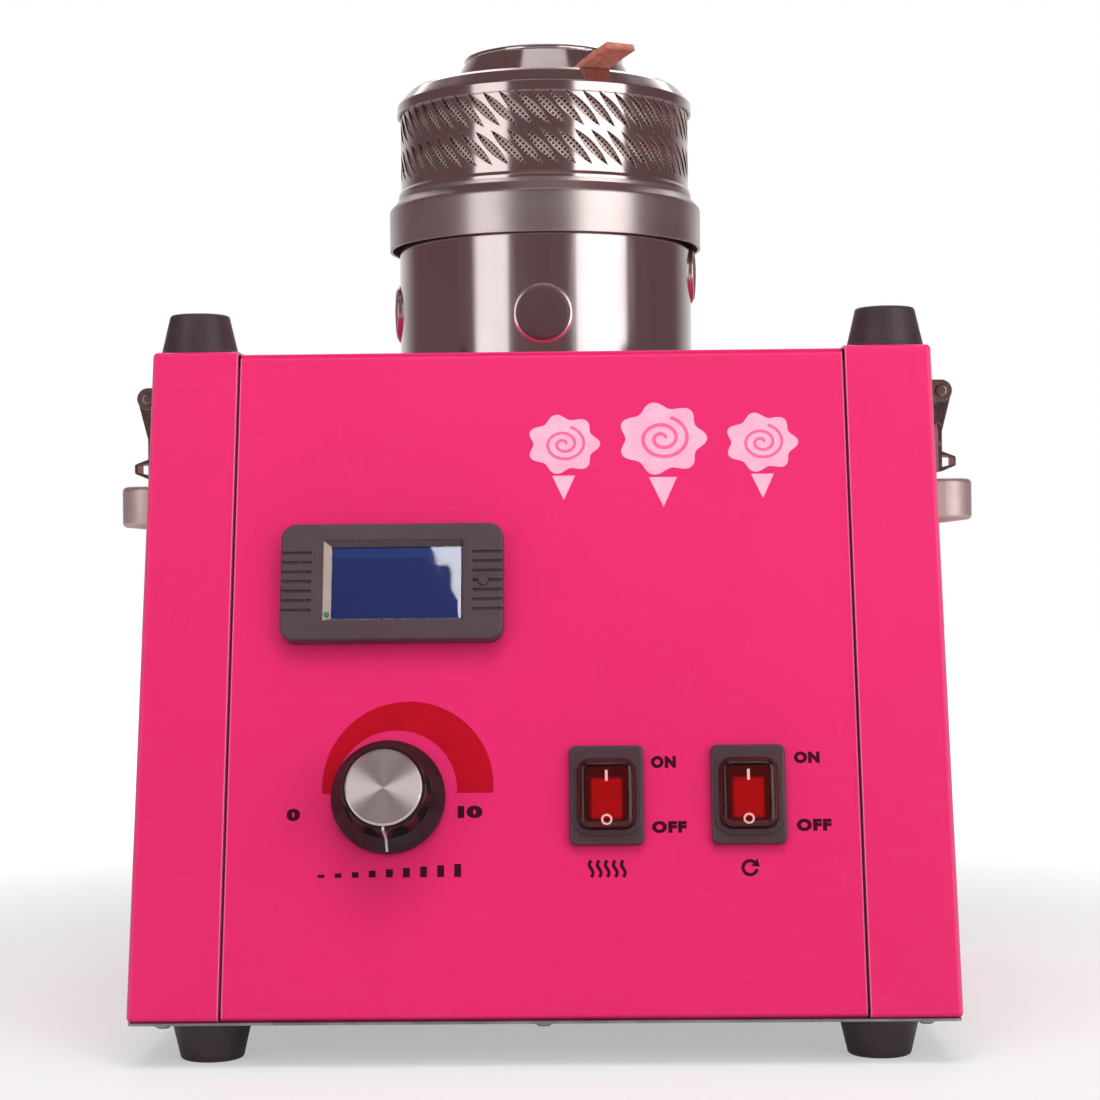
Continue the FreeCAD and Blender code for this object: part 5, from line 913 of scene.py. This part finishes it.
def addPointer():  # a painted line from the cap down over the skirt
    knob = surfaceOf("heat_knob")
    build = bmesh.new()
    half = right * pointer["wide"] * mm / 2
    rows = []
    for step in range(pointer["steps"] + 1):
        down = pointer["from"] + (pointer["to"] - pointer["from"]) * step / pointer["steps"]
        spot, normal = knob.ray_cast(onPanel(knobAcross, knobAlong - down * mm, castFrom), -panelOut)[:2]
        low, high = spot - panelOut * pointer["sunk"] * mm, spot + normal * pointer["thick"] * mm
        corners = (low - half, low + half, high + half, high - half)
        rows.append([build.verts.new(corner) for corner in corners])
    joinLoops(build, rows, (0, -1))
    addBuilt(build, "knob_pointer", whiteInk, "knob")


addPointer()
print("knob pointer made")


# dark inserts in the can's vent plugs

insert = {
    "radius": 12.5, "edge": 0.5, "bend": 0.9, "proud": 0.25, "thick": 0.8, "rings": 10, "steps": 64,
    "weld": 0.01,
}


def separateShells(mesh):  # the vertices of each connected shell
    build = bmesh.new()
    build.from_mesh(mesh)
    bmesh.ops.remove_doubles(build, verts=build.verts, dist=insert["weld"] * mm)
    shells, seen = [], set()
    for first in build.verts:
        if first in seen:
            continue
        seen.add(first)
        shell = [first]
        for vertex in shell:  # the list grows by the neighbours not seen yet
            for edge in vertex.link_edges:
                other = edge.other_vert(vertex)
                if other not in seen:
                    seen.add(other)
                    shell.append(other)
        shells.append([vertex.co.copy() for vertex in shell])
    build.free()
    return shells


def addPortInserts():
    caps = surfaceOf("port_caps")
    for index, shell in enumerate(separateShells(nodes["port_caps"].data)):
        middle = sum(spanOf(shell), Vector()) / 2
        out = ((middle - headAxis) * Vector((1, 1, 0))).normalized()
        aside = upwards.cross(out)
        build = bmesh.new()
        layers = []
        for proud in (insert["proud"], insert["proud"] - insert["thick"]):
            rings = []
            for ring in range(insert["rings"] + 1):
                share = ring / insert["rings"]
                bent = max(0.0, share - insert["bend"]) / (1 - insert["bend"]) if proud > 0 else 0.0
                row = []
                for x, y in circlePoints(insert["radius"] * mm * share, insert["steps"] if ring else 1):
                    start = middle + out * castFrom + aside * x + upwards * y
                    spot = caps.ray_cast(start, -out)[0]
                    row.append(build.verts.new(spot + out * (proud - insert["edge"] * bent) * mm))
                rings.append(row)
            layers.append(rings)
        joinLoops(build, layers[0] + layers[1][::-1])
        name = "port_insert_" + str(index + 1)
        addBuilt(build, name, materials["insert_plastic"], "cabinet", True)


addPortInserts()
print("port inserts made")


# display, bevels and power light in the meter's window

glass = {
    "side": reach("meter_glass", right), "height": reach("meter_glass", panelUp),
    "depth": [depth - panelFace for depth in reach("meter_glass", panelOut)],
}
displayBlue = {
    "tones": ((14, 28, 70), (10, 22, 60), (30, 50, 100)), "roughness": (0.35, 0.45), "driftScale": 90.0,
    "rubs": 0.0, "wear": 0.0, "grainScale": 3000.0, "shader": {"Specular IOR Level": 0.1},
}
display = {
    "inset": 0.3, "gap": 0.15, "thick": 0.9, "strip": (4.6, 3.8), "low": srgb(18, 46, 112),
    "high": srgb(34, 68, 130), "glow": 0.6,
}


def windowOutline(left, foot, rightSide, top):  # the glass's outline, grown by millimetres at each side
    low, high = glass["height"]
    near, far = glass["side"]
    return rectangle(near - left * mm, low - foot * mm, far + rightSide * mm, high + top * mm)


def makeDisplayBlue():  # paler along the upper edge
    material, tree, shader, place = makeFinish("display_blue", displayBlue)
    along = vectorNode(tree, "DOT_PRODUCT", place, panelUp)
    start, end = (glass["height"][1] - edge * mm for edge in display["strip"])
    addGlow(tree, shader, remap(tree, along, start, end), display["low"], display["high"], display["glow"])
    return material


def addDisplay():
    inset, thick = display["inset"], display["thick"] * mm
    place = panelPlace(0, 0, glass["depth"][0] - display["gap"] * mm - thick)
    outline = windowOutline(-inset, -inset, -inset, -inset)
    flatPrint("display_cell", [outline], thick, makeDisplayBlue(), "cabinet", place)


bevel = {"left": 3.1, "right": 0.9, "top": 2.2, "foot": 1.2, "low": 0.05, "high": 2.2, "inner": 0.12}


def makeBevelPlastic(name, first, second):
    return makeFinish(name, {
        "tones": (first, second, first), "roughness": (0.25, 0.4), "driftScale": 160.0, "wear": 0.2,
        "edge": 0.2, "rubs": 0.1, "grainScale": 1800.0, "grain": 0.5, "bump": 0.2,
    })[0]


def addWindowBevels():  # four sloping sides from the case's face down to the glass
    floor = glass["depth"][1] + bevel["low"] * mm
    inner = windowOutline(0, 0, 0, 0)
    outer = windowOutline(bevel["left"], bevel["foot"], bevel["right"], bevel["top"])
    dark = makeBevelPlastic("bevel_dark", (96, 74, 76), (82, 62, 64))
    # painted highlight: the left side is pale plastic standing in for the left softbox's reflection
    pale = makeBevelPlastic("bevel_painted_highlight", (186, 164, 156), (168, 146, 140))
    sides = (("foot", dark), ("right", dark), ("top", dark), ("left", pale))
    for index, (name, material) in enumerate(sides):
        build = bmesh.new()
        ends = []
        for corner in (index, (index + 1) % 4):
            low, high = inner[corner], outer[corner]
            section = ((high, 0), (low, 0), (low, bevel["inner"]), (high, bevel["high"]))
            ends.append([build.verts.new(onPanel(*spot, floor + rise * mm)) for spot, rise in section])
        joinLoops(build, ends, (0, -1))
        addBuilt(build, "window_bevel_" + name, material, "cabinet")


lightGreen = {
    "tones": ((20, 128, 92), (14, 104, 72), (90, 190, 150)), "roughness": (0.2, 0.3), "driftScale": 500.0,
    "edge": 0.05, "rubs": 0.0, "grainScale": 3000.0,
    "shader": {"Emission Color": srgb(10, 120, 80), "Emission Strength": 0.35, "Coat Weight": 0.5},
}
powerLight = {
    "across": -1.6, "along": 1.4, "steps": 24,
    "profile": ((1.15, 0.0), (1.15, 0.5), (1.0, 0.6), (0.85, 1.1), (0.45, 1.45), (0.0, 1.55)),
}


def addPowerLight():  # small green lamp on the left bevel
    build = bmesh.new()
    rings = []
    for radius, height in powerLight["profile"]:
        circle = circlePoints(radius * mm, powerLight["steps"] if radius else 1)
        rings.append([build.verts.new((x, y, height * mm)) for x, y in circle])
    joinLoops(build, rings, (0,))
    across = glass["side"][0] + powerLight["across"] * mm
    along = glass["height"][0] + powerLight["along"] * mm
    build.transform(panelPlace(across, along, glass["depth"][1] + bevel["high"] * mm / 2))
    material = makeFinish("power_light_green", lightGreen)[0]
    addBuilt(build, "power_light", material, "cabinet", True)


addDisplay()
addWindowBevels()
addPowerLight()
print("display, window bevels and power light made")


# floor, light and camera

floorTone = {"First": (0.6, 0.6, 0.6, 1), "Second": (0.57, 0.57, 0.57, 1), "Scale": 3.0, "Amount": 0.4}
floorShape = {"segments": 8, "size": 6.0, "roughness": 0.9}
floorGlow = {  # it whitens between two distances, from one brightness to another, and is dimmed in mirrors
    "whitens": (0.3, 1.0, 0.42, 1.0), "mirrored": 0.3,
}


def addFloor():
    build = bmesh.new()
    segments = floorShape["segments"]
    bmesh.ops.create_grid(build, x_segments=segments, y_segments=segments, size=floorShape["size"])
    floor = addObject("floor", meshFrom(build, "floor"))
    material = bpy.data.materials.new("pale_floor")
    material.use_nodes = True
    tree = material.node_tree
    shader = tree.nodes["Principled BSDF"]
    shader.inputs["Roughness"].default_value = floorShape["roughness"]
    shader.inputs["Specular IOR Level"].default_value = 0.0
    shader.inputs["Emission Color"].default_value = (1, 1, 1, 1)
    place = addNode(tree, "TexCoord").outputs["Object"]
    drift = addGroup(tree, colourDrift, place, **floorTone)
    tree.links.new(drift["Colour"], shader.inputs["Base Color"])
    rays = addNode(tree, "LightPath").outputs
    mirrored = mathNode(tree, "MAXIMUM", rays["Is Glossy Ray"], rays["Is Transmission Ray"])
    dimmed = product(tree, mirrored, floorGlow["mirrored"])
    seen = mathNode(tree, "MAXIMUM", rays["Is Camera Ray"], dimmed)
    away = remap(tree, vectorNode(tree, "LENGTH", place), *floorGlow["whitens"])
    tree.links.new(product(tree, seen, away), shader.inputs["Emission Strength"])
    floor.data.materials.append(material)


lamps = {
    # degrees round and up from the camera's side, metres away, wide and tall, brightness of the face
    "left_softbox": (-41.5, 10.0, 1.5, 0.72, 1.5, 1.35),
    "right_softbox": (45.5, 10.0, 1.5, 1.12, 1.5, 1.9),
    "front_lamp": (4.0, 58.0, 1.25, 0.9, 0.6, 4.1),
    "ridge_lamp": (4.0, 72.0, 1.4, 0.9, 0.3, 0.8),
    "back_lamp": (180.0, 50.0, 1.8, 1.6, 0.9, 1.7),
}
lampAim = Vector((0, 0, 0.2))
glare = {"left": -126.0, "place": (-1.416, 0.937), "face": (0.22, 0.34, 8.0), "lean": 22.0}


def hangLamp(name, face, spot, turn):
    wide, tall, bright = face
    light = bpy.data.lights.new(name, "AREA")
    light.shape = "RECTANGLE"
    light.size, light.size_y = wide, tall
    light.energy = bright * math.pi * wide * tall
    holder = addObject(name, light)
    holder.location = spot
    holder.rotation_euler = turn.to_euler()
    holder.visible_camera = False
    return holder


def addLamps():
    for name, (bearing, height, distance, *face) in lamps.items():
        bearing, height = math.radians(bearing), math.radians(height)
        level = math.cos(height)
        aside = Vector((math.sin(bearing) * level, -math.cos(bearing) * level, math.sin(height)))
        turn = (-aside).to_track_quat("-Z", "Y")
        holder = hangLamp(name, face, lampAim + aside * distance, turn)
        holder.visible_glossy = name != "front_lamp"  # it lights the panel and is not mirrored


def addGlareLamp():  # a narrow lamp that only the meter's glass mirrors
    spot = Vector((glare["left"] * mm + glare["face"][0] / 2, *glare["place"]))
    aim = (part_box("meter_glass")[0] - spot).to_track_quat("-Z", "Y").to_matrix()
    lean = Matrix.Rotation(math.radians(glare["lean"]), 3, "Z")
    holder = hangLamp("glare_lamp", glare["face"], spot, aim @ lean)
    receivers = bpy.data.collections.new("glare_receivers")
    receivers.objects.link(nodes["meter_glass"])
    holder.light_linking.receiver_collection = receivers


studioTone = {
    "dark": (0.17, 0.1, 0.105, 1), "backdrop": (1, 1, 1, 1), "fill": (0.25, 0.25, 0.25, 1),
    "behind": (0.5, 1.12),
}


def makeWorld():  # white to the camera, dark in front and white behind in reflections, dim as a light
    world = bpy.data.worlds.new("studio")
    bpy.context.scene.world = world
    world.use_nodes = True
    tree = world.node_tree
    rays = addNode(tree, "LightPath").outputs
    direction = addNode(tree, "TexCoord").outputs["Generated"]
    northward = addNode(tree, "SeparateXYZ", {0: direction}).outputs["Y"]
    behind = remap(tree, northward, *studioTone["behind"])
    mirrored = blendColours(tree, behind, studioTone["dark"], studioTone["backdrop"])
    reflects = mathNode(tree, "MAXIMUM", rays["Is Glossy Ray"], rays["Is Transmission Ray"])
    lit = blendColours(tree, reflects, studioTone["fill"], mirrored)
    shown = blendColours(tree, rays["Is Camera Ray"], lit, studioTone["backdrop"])
    tree.links.new(shown, tree.nodes["Background"].inputs["Color"])


camera = {
    "place": (0.0200, -1.07895, 0.18942), "turn": (90.44693, 0.55575, 0.98982), "lens": 79.29, "sensor": 36.0,
    "near": 0.01,
}


def addCamera():
    data = bpy.data.cameras.new("camera")
    data.lens = camera["lens"]
    data.sensor_width = camera["sensor"]
    data.clip_start = camera["near"]
    holder = addObject("camera", data)
    holder.location = camera["place"]
    holder.rotation_euler = [math.radians(angle) for angle in camera["turn"]]
    bpy.context.scene.camera = holder


addFloor()
addLamps()
addGlareLamp()
makeWorld()
addCamera()
bpy.context.scene.view_settings.view_transform = "Standard"
print("floor, lights and camera placed")
